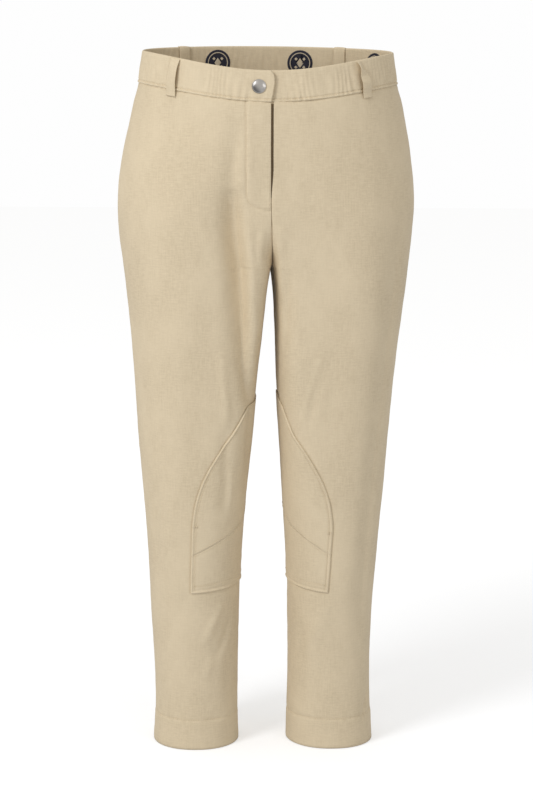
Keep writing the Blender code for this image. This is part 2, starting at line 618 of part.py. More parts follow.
def lay_on_leg(name, side, outline, grids, material, collection):
    """A piece of cloth with this outline, its faces following the panels' faces beneath it."""
    flat, points, out = leg_cells(side, grids)
    top, foot = max(y for _, y in outline), min(y for _, y in outline)
    margin = 2 * (CROTCH - FLOOR) / LEG_ROWS
    rows = [i for i in range(len(flat)) if foot - margin < flat[i, 0, 1] < top + margin]
    flat, points, out = flat[rows], points[rows], out[rows]
    # Half the cells are split the other way than the rest: a back panel's columns run backwards here.
    columns, middle = flat.shape[1], flat.shape[1] // 2
    corners = [(i, j) for i in range(len(rows)) for j in range(columns)]
    number = {corner: k for k, corner in enumerate(corners)}
    triangles = []
    for i in range(len(rows) - 1):
        for j in range(columns - 1):
            if j >= middle:
                triangles += [[(i, j), (i, j + 1), (i + 1, j + 1)], [(i, j), (i + 1, j + 1), (i + 1, j)]]
            else:
                triangles += [[(i, j), (i, j + 1), (i + 1, j)], [(i, j + 1), (i + 1, j + 1), (i + 1, j)]]
    edges = {tuple(sorted((number[a], number[b]))) for t in triangles for a, b in zip(t, t[1:] + t[:1])}
    spots = [Vector(flat[corner]) for corner in corners]
    start = len(spots)
    spots += [Vector(spot) for spot in outline]
    edges |= {(start + k, start + (k + 1) % len(outline)) for k in range(len(outline))}
    cut = delaunay_2d_cdt(spots, list(edges), [], 0, 1e-7)
    kept = [face for face in cut[2] if is_inside(sum((cut[0][k] for k in face), Vector((0, 0))) / 3, outline)]
    used = sorted({k for face in kept for k in face})
    mesh_data = bmesh.new()
    placed = {}
    for k in used:
        placed[k] = mesh_data.verts.new(lift_off(cut[0][k], triangles, flat, points, out, SEAM_GAP))
    for face in kept:
        mesh_data.faces.new([placed[k] for k in face])
    bmesh.ops.recalc_face_normals(mesh_data, faces=mesh_data.faces)
    mesh_data.faces.ensure_lookup_table()
    first = mesh_data.faces[0]
    centre = points.reshape(-1, 3).mean(axis=0)
    if first.normal.dot(first.calc_center_median() - Vector(centre)) < 0:
        bmesh.ops.reverse_faces(mesh_data, faces=mesh_data.faces)
    mesh = bpy.data.meshes.new(name)
    mesh_data.to_mesh(mesh)
    mesh_data.free()
    thing = add_object(name, mesh, material, collection)
    mesh.shade_flat()
    shell = thing.modifiers.new("cloth", "SOLIDIFY")
    shell.thickness = PATCH_WALL
    shell.offset = 1.0
    return thing


def lift_off(spot, triangles, flat, points, out, lift):
    """The place over the panels' faces of a spot given along the cloth and in height."""
    best, place = -1e9, None
    for corners in triangles:
        (ax, ay), (bx, by), (cx, cy) = (flat[corner] for corner in corners)
        area = (bx - ax) * (cy - ay) - (cx - ax) * (by - ay)
        v = ((spot[0] - ax) * (cy - ay) - (cx - ax) * (spot[1] - ay)) / area
        w = ((bx - ax) * (spot[1] - ay) - (spot[0] - ax) * (by - ay)) / area
        least = min(v, w, 1 - v - w)
        if least > best:
            best = least
            shares = (1 - v - w, v, w)
            place = sum(share * (points[corner] + out[corner] * lift)
                        for share, corner in zip(shares, corners))
    return Vector(place)


def make_patch(side, lower, grids, material, collection):
    """The upper or lower piece of a knee patch, laid over the inseam from front to back."""
    name = f"knee_patch_{'lower' if lower else 'upper'}_{SIDE_NAMES[side]}"
    return lay_on_leg(name, side, patch_outline(side, lower), grids, material, collection)


def make_loop(loop, material, collection):
    """A belt loop: a strip that follows its middle line up the band, and over its top at the back."""
    line = FRONT_LOOP_LINE if loop.half == FRONT else BACK_LOOP_LINE
    spots = np.array([(point.lift, point.height) for point in line]) * MM
    ahead = np.gradient(spots, axis=0)
    ahead /= np.linalg.norm(ahead, axis=1, keepdims=True)
    off = np.stack([ahead[:, 1], -ahead[:, 0]], axis=1)
    across = np.array([-0.5, 0.0, 0.5]) * loop.width * MM
    grids = []
    for shift in (LOOP_WALL / 2, -LOOP_WALL / 2):
        rows = spots + off * shift
        lift, height = rows[:, :1], rows[:, 1:]
        slant = loop.slant * MM * -height / BAND_DEPTH
        along = loop.from_middle * MM + slant + across[None, :]
        share = along / quarter_length(loop.side, loop.half, np.full_like(along, -BAND_DEPTH / 2))
        level = row_height(loop.half, share, height * np.ones_like(along))
        points, outward = cloth(loop.side, loop.half, along, level, folds=False)
        grids.append(points + outward * lift[..., None])
    return wall(loop.name, grids[0], grids[1], material, collection)


def stand_on_cloth(thing, side, half, along, height, lift):
    """Turn a thing's own +Z square out of the cloth and set it there."""
    share = along / float(quarter_length(side, half, height))
    level = float(row_height(half, share, height))
    reach = STAND_REACH
    spots, outward = cloth(side, half, along + np.array([0, -reach, reach, 0, 0]),
                           level + np.array([0, 0, 0, -reach, reach]), folds=False)
    z_axis = Vector(np.cross(spots[2] - spots[1], spots[4] - spots[3])).normalized()
    if z_axis.dot(Vector(outward[0])) < 0:
        z_axis.negate()
    x_axis = Vector((0, 0, 1)).cross(z_axis).normalized()
    y_axis = z_axis.cross(x_axis)
    turn = Matrix((x_axis, y_axis, z_axis)).transposed().to_4x4()
    thing.matrix_world = Matrix.Translation(Vector(spots[0]) + z_axis * lift) @ turn


def make_snap(metal, collection):
    """The snap's domed cap outside the lap, and its stud behind the end beneath."""
    dome = [(0.0, SNAP_HEIGHT)]
    for i in range(1, SNAP_RINGS + 1):
        angle = math.pi / 2 * i / SNAP_RINGS
        dome.append((SNAP_RADIUS * math.sin(angle), SNAP_RIM + (SNAP_HEIGHT - SNAP_RIM) * math.cos(angle)))
    dome += [(SNAP_RADIUS, 0.0), (0.0, 0.0)]
    cap = turned("snap_cap", dome, metal, collection)
    stand_on_cloth(cap, RIGHT, FRONT, SNAP_FROM_MIDDLE, -SNAP_DROP, BAND_PROUD + SNAP_CLEAR)
    stud = turned("snap_stud", [(0.0, 0.0), (STUD_RADIUS, 0.0), (STUD_RADIUS, -STUD_RIM),
                                (STUD_TOP_RADIUS, -STUD_HEIGHT), (0.0, -STUD_HEIGHT)],
                  metal, collection)
    behind = BAND_PROUD - BAND_WALL - LAP_SUNK - SNAP_CLEAR
    stand_on_cloth(stud, RIGHT, FRONT, SNAP_FROM_MIDDLE, -SNAP_DROP, behind)


def make_disc(name, side, from_back, material, collection):
    """A thin disc bent to the waistband's inner face."""
    bpy.ops.mesh.primitive_cylinder_add(vertices=32, radius=DISC_RADIUS, depth=DISC_WALL,
                                        end_fill_type="TRIFAN")
    disc = bpy.context.object
    for group in list(disc.users_collection):
        group.objects.unlink(disc)
    mesh = disc.data
    bpy.data.objects.remove(disc)
    spots = np.array([vertex.co[:] for vertex in mesh.vertices])
    along = from_back + spots[:, 0]
    height = -DISC_DROP + spots[:, 1]
    share = along / quarter_length(side, BACK, np.full_like(along, -DISC_DROP))
    level = row_height(BACK, share, height)
    lift = BAND_PROUD - BAND_WALL - DISC_CLEAR - DISC_WALL / 2 + spots[:, 2]
    points, outward = cloth(side, BACK, along, level, folds=False)
    for vertex, spot in zip(mesh.vertices, points + outward * lift[:, None]):
        vertex.co = spot
    shape = bmesh.new()
    shape.from_mesh(mesh)
    bmesh.ops.recalc_face_normals(shape, faces=shape.faces)
    shape.to_mesh(mesh)
    shape.free()
    mesh.name = name
    return add_object(name, mesh, material, collection)


def main():
    for thing in list(bpy.data.objects):
        bpy.data.objects.remove(thing, do_unlink=True)
    collection = new_collection("cropped_riding_trousers")
    twill = make_material("beige_twill", (0.66, 0.55, 0.40), 0.86)
    inner_twill = make_material("beige_twill_inside", (0.50, 0.41, 0.28), 0.9)
    tape = make_material("zip_tape", (0.42, 0.36, 0.27), 0.8)
    metal = make_material("satin_silver", (0.62, 0.60, 0.57), 0.28, 1.0)
    navy = make_material("navy_disc", (0.012, 0.014, 0.035), 0.5)

    grids = {(side, half): panel_grid(side, half) for side in (RIGHT, LEFT) for half in (FRONT, BACK)}
    for (side, half), grid in grids.items():
        make_panel(side, half, grid, twill, collection)
    for side in (RIGHT, LEFT):
        make_patch(side, False, grids, twill, collection)
        make_patch(side, True, grids, twill, collection)
        for number, from_back in enumerate(DISC_FROM_BACK[side], start=1):
            make_disc(f"waist_disc_{SIDE_NAMES[side]}_{number}", side, from_back, navy, collection)
    make_waistband(twill, collection)
    make_fly(inner_twill, tape, collection)
    for loop in LOOPS:
        make_loop(loop, twill, collection)
    make_snap(metal, collection)


main()
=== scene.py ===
# %% [markdown]
# # Cropped riding trousers
#
# This notebook dresses a rigid model of a pair of beige riding trousers: twill cloth with soft
# creases, seams and real stitches, a snap, a fly, belt loops and patches inside the knees. The rigid
# model is loaded first and never changed. Each cell makes one thing, and most say what they made.

# %% Load the rigid model
import math
from collections import namedtuple

import bmesh
import bpy
import numpy as np
from mathutils import Matrix, Vector


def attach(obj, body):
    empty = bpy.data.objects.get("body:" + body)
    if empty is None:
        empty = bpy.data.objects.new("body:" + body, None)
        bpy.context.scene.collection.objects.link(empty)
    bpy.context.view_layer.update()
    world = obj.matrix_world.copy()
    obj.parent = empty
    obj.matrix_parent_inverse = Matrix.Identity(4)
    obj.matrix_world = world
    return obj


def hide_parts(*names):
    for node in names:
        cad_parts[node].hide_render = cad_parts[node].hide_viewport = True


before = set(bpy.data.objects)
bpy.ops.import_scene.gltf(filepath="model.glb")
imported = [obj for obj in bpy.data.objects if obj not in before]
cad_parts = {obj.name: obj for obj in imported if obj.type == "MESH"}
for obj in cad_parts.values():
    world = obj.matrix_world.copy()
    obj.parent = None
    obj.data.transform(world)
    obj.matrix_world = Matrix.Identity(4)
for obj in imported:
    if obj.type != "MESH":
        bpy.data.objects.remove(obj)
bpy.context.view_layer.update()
MM = 0.001

# %% [markdown]
# The camera comes first, because every crease is judged from it. A product photographer stands back
# with a long lens, here 2.9 m away and a little above the waist, so the legs stay nearly parallel.
# The camera leans half a degree, as the picture does.

# %% Set up the camera
CAMERA_DISTANCE = 2.9
CAMERA_HEIGHT = 0.06
CAMERA_PITCH, CAMERA_TURN, CAMERA_ROLL = (math.radians(a) for a in (10.02, -3.2, 0.49))
FOCAL_IN_PICTURE_HEIGHTS = 2238.5 / 800


def place_camera():
    data = bpy.data.cameras.new("camera")
    data.sensor_fit = "VERTICAL"
    data.sensor_height = 36
    data.lens = 36 * FOCAL_IN_PICTURE_HEIGHTS
    forward = Vector((-math.sin(CAMERA_TURN) * math.cos(CAMERA_PITCH),
                      math.cos(CAMERA_TURN) * math.cos(CAMERA_PITCH), -math.sin(CAMERA_PITCH)))
    right = Vector((math.cos(CAMERA_TURN), math.sin(CAMERA_TURN), 0))
    up = right.cross(forward)
    lean = Matrix.Rotation(CAMERA_ROLL, 3, -forward)
    camera = bpy.data.objects.new("camera", data)
    camera.matrix_world = Matrix((lean @ right, lean @ up, -forward)).transposed().to_4x4()
    camera.location = (CAMERA_DISTANCE * math.sin(CAMERA_TURN),
                       -CAMERA_DISTANCE * math.cos(CAMERA_TURN), CAMERA_HEIGHT)
    bpy.context.scene.collection.objects.link(camera)
    bpy.context.scene.camera = camera
    return camera


camera = place_camera()
print("camera lens:", round(camera.data.lens, 1), "mm")

# %% [markdown]
# Every piece of cloth lies on one shape: a level section of the body that once filled the trousers.
# The two tables below give that shape from the front and from the side, a row for each height, and a
# smooth curve runs through the rows. Lengths in the tables are millimetres.

# %% Sizes and the shape's tables
RIGHT, LEFT = -1, 1
FRONT, BACK = -1, 1
SIDE_NAMES = {RIGHT: "right", LEFT: "left"}
HALF_NAMES = {FRONT: "front", BACK: "back"}
QUARTERS = tuple((side, half) for side in (RIGHT, LEFT) for half in (FRONT, BACK))

SEAM_GAP = 0.3 * MM
BAND_DEPTH = 39 * MM
BAND_PROUD = 0.6 * MM
BAND_WALL = 2.4 * MM
FLOOR = -914.5 * MM
CROTCH = -267 * MM
HEM_DEPTH = 42 * MM
WAIST_DIP_FRONT = -21 * MM
WAIST_RISE_BACK = 4.5 * MM
DIP_ROUND_FRONT = 2.4
DIP_ROUND_BACK = 0.9
DIP_ENDS = -220 * MM
FLY_FOOT = -184 * MM
FLY_SLIT = 3.0 * MM

# outer: side seam to the middle.  inner: half the gap between the legs.
# sway: how far the side seams lie to the left of true.  middle: x of the centre seam and the gap.
Outline = namedtuple("Outline", "height outer inner sway middle")
OUTLINE = (
    Outline(+12, 158.5, 0.0, -1.5, -3.4),
    Outline(-20, 163.4, 0.0, -1.5, -3.4),
    Outline(-45, 167.0, 0.0, -1.4, -3.4),
    Outline(-60, 171.4, 0.0, -1.2, -3.4),
    Outline(-90, 178.0, 0.0, -1.2, -3.3),
    Outline(-140, 187.6, 0.0, -2.0, -2.9),
    Outline(-190, 192.4, 0.0, -2.1, -1.8),
    Outline(-240, 189.6, 0.0, -2.4, 0.8),
    Outline(-267, 186.2, 0.9, -2.2, 2.3),
    Outline(-300, 182.4, 5.3, -2.0, 2.4),
    Outline(-350, 176.4, 9.0, -2.5, 1.5),
    Outline(-420, 169.8, 13.6, -3.4, -1.1),
    Outline(-500, 163.6, 19.2, -4.4, -1.0),
    Outline(-580, 157.2, 25.2, -3.6, -2.2),
    Outline(-660, 151.4, 30.4, -3.5, -2.2),
    Outline(-740, 147.0, 32.4, -4.2, -2.0),
    Outline(-820, 144.3, 33.4, -2.2, -1.8),
    Outline(-870, 144.6, 33.0, -1.0, -2.2),
    Outline(-915, 147.0, 32.4, -0.6, -1.8),
)
# front, back: y of the foremost and rearmost cloth.  side, inseam: y of those seams.
# peaks: where the foremost and rearmost cloth lies, 0 at the middle, 1 at the side.
# press: how flat the inner faces of the legs are in front, 2 for round; less behind.
Profile = namedtuple("Profile", "height front back side inseam front_peak back_peak press")
PROFILE = (
    Profile(+12, -104, 103, 3, 12, 0.00, 0.00, 3.8),
    Profile(-20, -105, 107, 4, 12, 0.00, 0.02, 3.8),
    Profile(-60, -109, 116, 6, 12, 0.02, 0.12, 3.8),
    Profile(-90, -110, 125, 8, 12, 0.08, 0.22, 3.8),
    Profile(-140, -109, 138, 10, 12, 0.22, 0.36, 3.8),
    Profile(-190, -106, 145, 12, 12, 0.37, 0.43, 5.0),
    Profile(-240, -102, 139, 12, 12, 0.45, 0.46, 6.6),
    Profile(-290, -98, 121, 9, 12, 0.49, 0.49, 7.0),
    Profile(-350, -93, 104, 5, 8, 0.50, 0.50, 5.8),
    Profile(-420, -87, 91, 1, 3, 0.50, 0.50, 4.4),
    Profile(-500, -80, 77, -3, -1, 0.50, 0.50, 3.2),
    Profile(-580, -73, 65, -4, -2, 0.50, 0.50, 2.5),
    Profile(-660, -65, 64, 0, 1, 0.50, 0.50, 2.1),
    Profile(-740, -57, 67, 5, 5, 0.50, 0.50, 2.1),
    Profile(-820, -51, 68, 8, 8, 0.50, 0.50, 2.1),
    Profile(-870, -50, 68, 9, 9, 0.50, 0.50, 2.1),
    Profile(-915, -51, 69, 10, 10, 0.50, 0.50, 2.1),
)
BACK_PRESS = 0.4
SHARES = ("front_peak", "back_peak", "press")
OUTER_ROUND = 2.2
SEAT_STARTS = {FRONT: -196 * MM, BACK: -172 * MM}
SEAM_HOLD = 10
print("outline rows:", len(OUTLINE), "profile rows:", len(PROFILE))

# %% [markdown]
# A section is two arcs: one from the inner seam to the foremost (or rearmost) cloth, and one from
# there to the side seam. Between the waist and the crotch the inner arc starts on the centre seam,
# which turns in under the body in a quarter of an ellipse. NumPy works all heights out at once,
# which matters later, when a panel has tens of thousands of points.

# %% Work out a section
ARC_POINTS = 72


def smoothstep(share):
    share = np.clip(share, 0.0, 1.0)
    return share * share * (3.0 - 2.0 * share)


def bell(distance, width):
    """1 at no distance, falling off as a bell curve."""
    return np.exp(-(distance / width) ** 2)


def between_rows(values, slopes, low, span, t):
    """A smooth curve from row low to the next, at a share t of the span between them."""
    return (values[low] * (1 + 2 * t) * (1 - t) ** 2 + values[low + 1] * t * t * (3 - 2 * t)
            + span * (slopes[low] * t * (1 - t) ** 2 - slopes[low + 1] * t * t * (1 - t)))


def read_table(table, column, height):
    """A table's column at these heights, on a smooth curve through its rows; mm in, metres out."""
    rows = sorted(table, key=lambda row: row.height)
    knots = np.array([row.height for row in rows], dtype=float)
    values = np.array([getattr(row, column) for row in rows], dtype=float)
    slopes = np.gradient(values, knots)
    level = np.clip(np.asarray(height, dtype=float) / MM, knots[0], knots[-1])
    low = np.clip(np.searchsorted(knots, level, side="right") - 1, 0, len(knots) - 2)
    span = knots[low + 1] - knots[low]
    t = (level - knots[low]) / span
    curve = between_rows(values, slopes, low, span, t)
    return curve if column in SHARES else curve * MM


def quarter_section(side, half, height):
    """Points of a quarter of the level section at each height, from the inner seam to the side."""
    height = np.asarray(height, dtype=float)[..., None]
    inner = np.maximum(read_table(OUTLINE, "inner", height), 0.0) + SEAM_GAP / 2
    inner = np.where(height > CROTCH, SEAM_GAP / 2, inner)
    inner_x = read_table(OUTLINE, "middle", height) + side * inner
    outer_x = read_table(OUTLINE, "sway", height) + side * read_table(OUTLINE, "outer", height)
    column = "front" if half == FRONT else "back"
    peak_x = inner_x + (outer_x - inner_x) * read_table(PROFILE, column + "_peak", height)
    peak_y = read_table(PROFILE, column, height)
    side_y = read_table(PROFILE, "side", height)
    inseam_y = read_table(PROFILE, "inseam", height)
    start = SEAT_STARTS[half]
    turn = np.clip((start - height) / (start - CROTCH), 0.0, 1.0)
    press = read_table(PROFILE, "press", height)
    press = press if half == FRONT else 2 + (press - 2) * BACK_PRESS
    angle = np.linspace(0.0, math.pi / 2, ARC_POINTS)
    sine, cosine = np.sin(angle), np.clip(np.cos(angle), 0.0, 1.0)
    hold = cosine ** SEAM_HOLD
    pull = hold * (1.0 - np.sqrt(1.0 - turn ** 2)) + (1.0 - hold) * smoothstep(turn) ** 2
    inner_arc = np.stack([inner_x + (peak_x - inner_x) * (1 - cosine ** (2 / press)),
                          peak_y + (inseam_y - peak_y) * pull * (1 - sine ** (2 / press))], axis=-1)
    outer_arc = np.stack([peak_x + (outer_x - peak_x) * sine ** (2 / OUTER_ROUND),
                          side_y + (peak_y - side_y) * cosine ** (2 / OUTER_ROUND)], axis=-1)
    return np.concatenate([inner_arc, outer_arc[..., 1:, :]], axis=-2)


def section_reach(points):
    """How far along the cloth each point of a section lies."""
    steps = np.linalg.norm(np.diff(points, axis=-2), axis=-1)
    return np.concatenate([np.zeros(steps.shape[:-1] + (1,)), np.cumsum(steps, axis=-1)], axis=-1)


def step_off(points, reached, along):
    """The points this far along each section."""
    along = np.clip(along, 0.0, reached[..., -1])[..., None]
    low = np.clip(np.sum(reached <= along, axis=-1, keepdims=True) - 1, 0, points.shape[-2] - 2)
    start = np.take_along_axis(reached, low, axis=-1)
    stop = np.take_along_axis(reached, low + 1, axis=-1)
    share = np.clip((along - start) / np.maximum(stop - start, 1e-9), 0.0, 1.0)
    here = np.take_along_axis(points, low[..., None], axis=-2)[..., 0, :]
    after = np.take_along_axis(points, low[..., None] + 1, axis=-2)[..., 0, :]
    return here + (after - here) * share


LEVELS = np.unique(np.concatenate([np.arange(FLOOR - 2 * MM, 12 * MM, 1 * MM),
                                   CROTCH + 9 * MM * np.linspace(0, 1, 60) ** 2.2]))
LENGTHS = {quarter: section_reach(quarter_section(*quarter, LEVELS))[:, -1] for quarter in QUARTERS}


def quarter_length(side, half, height):
    """How long the cloth is from the inner seam to the side seam at each height."""
    return np.interp(height, LEVELS, LENGTHS[side, half])


def grain_shift(side, half):
    """What turns a reach from the inner seam into one from the centre seam, at each level."""
    section = quarter_section(side, half, LEVELS)
    peak = section[:, ARC_POINTS - 1, 0]
    return side * (peak - read_table(OUTLINE, "middle", LEVELS)) - section_reach(section)[:, ARC_POINTS - 1]


GRAIN = {quarter: grain_shift(*quarter) for quarter in QUARTERS}


def across_grain(side, half, along, height):
    """How far a spot lies from the centre seam's plane, with the leg's cloth laid flat."""
    return along + np.interp(height, LEVELS, GRAIN[side, half])


print("cloth round one hem:", round(float(sum(quarter_length(RIGHT, h, FLOOR) for h in (FRONT, BACK))), 3))

# %% [markdown]
# Creases make cloth look like cloth. A table names each one: how far it rises (or sinks, below
# zero), how wide its slope is toward the centre and away from it, and the spots it runs through. A
# spot is (across the grain, height). A crease is steeper on one side than on the other, as real ones
# are. A simulation would give folds too, but not these folds in these places. Those on the backs,
# the pull under the seat and the wrinkles behind the knees, are guesses.

# %% Name the creases
Crease = namedtuple("Crease", "rise toward away path")
CREASES = {(RIGHT, FRONT): (
    Crease(-5.5, 5, 9, ((40, -81), (46, -129), (48, -179), (48, -231), (43, -281))),
    Crease(-20.0, 6, 13, ((44, -167), (45, -223), (42, -269), (39, -307), (34, -345),
                          (28, -385), (21, -420), (16, -445))),
    Crease(1.6, 4, 4, ((31, -215), (29, -259), (29, -307), (29, -365))),
    Crease(2.6, 4, 4, ((64, -373), (58, -417), (54, -451), (58, -485))),
    Crease(-3.0, 5, 6, ((56, -467), (55, -511), (53, -557), (57, -599))),
    Crease(-4.0, 8, 10, ((12, -417), (14, -465), (12, -519), (14, -570))),
    Crease(1.0, 2.5, 2.5, ((48, -521), (46, -559), (47, -595))),
    Crease(1.9, 7, 7, ((124, -527), (125, -613), (124, -715))),
    Crease(-1.6, 5, 5, ((148, -555), (151, -617), (150, -679))),
    Crease(2.3, 5, 4, ((54, -715), (67, -739), (80, -771))),
    Crease(-1.9, 4, 5, ((39, -731), (52, -767), (69, -797))),
    Crease(1.2, 4, 4, ((69, -785), (78, -821))),
    Crease(-1.2, 5, 6, ((43, -789), (45, -817), (44, -845))),
    Crease(0.9, 3, 2.5, ((27, -61), (26, -117), (25, -167), (21, -189))),
    Crease(1.0, 3, 3, ((10, -209), (14, -237), (17, -267))),
    Crease(-0.9, 3, 3, ((20, -207), (21, -237), (22, -265))),
    Crease(-0.8, 4, 4, ((101, -693), (108, -713), (114, -735))),
    Crease(-0.7, 9, 9, ((109, -61), (115, -85), (119, -111))),
), (LEFT, FRONT): (
    Crease(3.0, 5, 5, ((11, -213), (8, -259), (6, -309))),
    Crease(-3.4, 5, 8, ((18, -269), (15, -321), (13, -377))),
    Crease(-3.6, 12, 6, ((181, -199), (175, -247), (167, -311), (163, -377), (156, -441), (150, -489))),
    Crease(-4.0, 12, 6, ((157, -421), (147, -507), (141, -575), (136, -643), (132, -713), (130, -785))),
    Crease(1.4, 3, 4, ((67, -369), (58, -405), (51, -437), (44, -475))),
    Crease(-1.3, 4, 4, ((59, -395), (55, -431), (50, -475))),
    Crease(0.6, 4, 4, ((37, -375), (36, -423))),
    Crease(0.8, 4, 4, ((77, -403), (67, -443), (59, -487))),
    Crease(1.9, 8, 8, ((86, -705), (71, -743), (46, -793))),
    Crease(-1.5, 7, 7, ((47, -743), (43, -775), (40, -809))),
    Crease(1.0, 3, 3, ((26, -857), (45, -867), (65, -869))),
    Crease(-3.2, 4, 3, ((160, -833), (148, -857), (135, -887))),
    Crease(-0.9, 6, 6, ((77, -781), (75, -809), (74, -837))),
), (RIGHT, BACK): (
    Crease(-3.2, 9, 12, ((34, -250), (80, -286), (150, -300))),
    Crease(1.8, 9, 10, ((44, -282), (90, -312), (150, -324))),
    Crease(-1.4, 10, 12, ((160, -190), (130, -236), (84, -272))),
    Crease(-2.2, 8, 12, ((60, -330), (70, -400), (62, -480))),
    Crease(1.6, 9, 9, ((110, -360), (116, -440), (106, -520))),
    Crease(-2.6, 6, 7, ((138, -500), (100, -518), (62, -540))),
    Crease(-2.2, 6, 7, ((142, -536), (108, -552), (70, -566))),
    Crease(1.5, 5, 6, ((140, -518), (104, -536), (74, -552))),
    Crease(1.6, 9, 9, ((104, -600), (112, -680), (100, -780))),
    Crease(-1.6, 8, 8, ((62, -620), (70, -700), (64, -790))),
    Crease(-1.4, 9, 9, ((140, -640), (134, -720), (142, -820))),
), (LEFT, BACK): (
    Crease(-3.0, 9, 13, ((32, -254), (78, -292), (146, -304))),
    Crease(1.7, 9, 10, ((48, -288), (88, -318), (148, -332))),
    Crease(-1.5, 10, 12, ((152, -182), (124, -234), (80, -270))),
    Crease(-2.0, 9, 11, ((64, -336), (74, -410), (64, -486))),
    Crease(1.5, 9, 9, ((116, -350), (124, -450), (112, -530))),
    Crease(-2.4, 7, 7, ((130, -490), (94, -512), (60, -534))),
    Crease(-2.1, 6, 7, ((140, -530), (106, -548), (70, -566))),
    Crease(1.4, 5, 6, ((140, -510), (108, -530), (78, -546))),
    Crease(1.5, 9, 9, ((98, -592), (106, -690), (94, -780))),
    Crease(-1.7, 8, 8, ((60, -640), (66, -710), (68, -780))),
    Crease(-1.4, 9, 9, ((138, -620), (130, -700), (140, -830))),
)}
print("creases:", sum(len(rows) for rows in CREASES.values()))

# %% [markdown]
# A point's distance to a crease is its distance to the nearest stretch of that crease's line. The
# rise fades along the crease with a half sine, and across it with a bell curve. A crease that
# reaches an inseam or a side seam runs on over it, so the panel next door is laid flat beside its
# own and measured too.

# %% Measure the creases
CREASE_STRETCHES = 16


def smooth_line(points, count):
    """A smooth line of this many points through the given ones."""
    points = np.array(points, dtype=float)
    reach = np.concatenate([[0], np.cumsum(np.linalg.norm(np.diff(points, axis=0), axis=1))])
    slopes = np.gradient(points, reach, axis=0)
    t = np.linspace(0, reach[-1], count)
    low = np.clip(np.searchsorted(reach, t, side="right") - 1, 0, len(points) - 2)
    span = (reach[low + 1] - reach[low])[:, None]
    return between_rows(points, slopes, low, span, (t[:, None] - reach[low][:, None]) / span)


def crease_at(crease, across, height):
    """How far one crease lifts the cloth at these spots."""
    curve = smooth_line(crease.path, CREASE_STRETCHES + 1) * MM
    margin = 3.2 * max(crease.toward, crease.away) * MM
    lifted = np.zeros_like(across)
    low, high = curve.min(axis=0) - margin, curve.max(axis=0) + margin
    near = (across > low[0]) & (across < high[0]) & (height > low[1]) & (height < high[1])
    if not near.any():
        return lifted
    spots = np.stack([across[near], height[near]], axis=-1)
    best = np.full(len(spots), 1e9)
    place, beside = np.zeros(len(spots)), np.zeros(len(spots))
    for k in range(CREASE_STRETCHES):
        ahead = curve[k + 1] - curve[k]
        reach = np.clip((spots - curve[k]) @ ahead / (ahead @ ahead), 0.0, 1.0)
        gap = spots - curve[k] - reach[:, None] * ahead
        distance = np.linalg.norm(gap, axis=1)
        closer = distance < best
        best = np.where(closer, distance, best)
        place = np.where(closer, (k + reach) / CREASE_STRETCHES, place)
        beside = np.where(closer, gap[:, 0] + 0.3 * gap[:, 1] * np.sign(ahead[0] + 1e-9), beside)
    width = np.where(beside < 0, crease.toward, crease.away) * MM
    fade = np.sin(math.pi * np.clip(place, 0.0, 1.0)) ** 0.7
    lifted[near] = crease.rise * MM * fade * np.exp(-0.5 * (best / width) ** 2)
    return lifted


def creases_at(side, half, along, height):
    """How far all the creases lift the cloth, also those that come over a seam from next door."""
    own, other = (quarter_length(side, h, height) for h in (half, -half))
    here = across_grain(side, half, along, height)
    over_side = across_grain(side, -half, own + other - along, height)
    over_inseam = across_grain(side, -half, -along, height)
    lifted = np.zeros_like(along)
    for (its_side, its_half), rows in CREASES.items():
        if its_side != side:
            continue
        for crease in rows:
            if its_half == half:
                lifted += crease_at(crease, here, height)
            else:
                lifted += crease_at(crease, over_side, height)
                lifted += crease_at(crease, over_inseam, height) * (height < CROTCH - 10 * MM)
    return lifted


# %% [markdown]
# No cloth is quite smooth between its creases. A grid of random numbers, read with smooth steps,
# gives gentle unevenness at any size. It is seeded, so every run makes the same trousers. The same
# trick, squeezed to a few millimetres, gives the puckers that a tight thread draws along a seam.

# %% Add unevenness
Patch = namedtuple("Patch", "height right left")
PATCH_EDGE = (
    Patch(-440, 5, 4),
    Patch(-444, 40, 32),
    Patch(-449, 66, 50),
    Patch(-456, 74.5, 57.5),
    Patch(-468, 81, 64),
    Patch(-486, 89, 71.5),
    Patch(-505, 97.5, 82),
    Patch(-530, 107, 93),
    Patch(-558, 113, 101.5),
    Patch(-580, 114.5, 104),
    Patch(-600, 113.5, 103.5),
    Patch(-645, 108.5, 96),
    Patch(-704, 104.5, 88),
)
PATCH_TOP = -440 * MM
PATCH_FOOT, PATCH_FOOT_FALL = -691 * MM, 8 * MM
PATCH_SEAM, PATCH_SEAM_FALL = -590 * MM, 57 * MM
PATCH_TUCK = 1.6 * MM
HEM_STITCH = 2.0 * MM
GROOVE = 1.3 * MM
FACING_WIDE, FACING_TURN, FACING_FOOT = 31 * MM, -172 * MM, -193 * MM


def facing_edge(height):
    """How far from the centre the fly's curved row of stitches runs."""
    down = np.clip((FACING_TURN - height) / (FACING_TURN - FACING_FOOT), 0, 1)
    return FACING_WIDE * np.sqrt(1 - down ** 2) ** 0.8


def patch_foot(share):
    """The height of the patch's foot, at a share of the way from the inseam to its edge."""
    return PATCH_FOOT - PATCH_FOOT_FALL * np.abs(share)


def patch_seam(share):
    """The height of the seam that slants across the patch."""
    return PATCH_SEAM - PATCH_SEAM_FALL * np.abs(share)


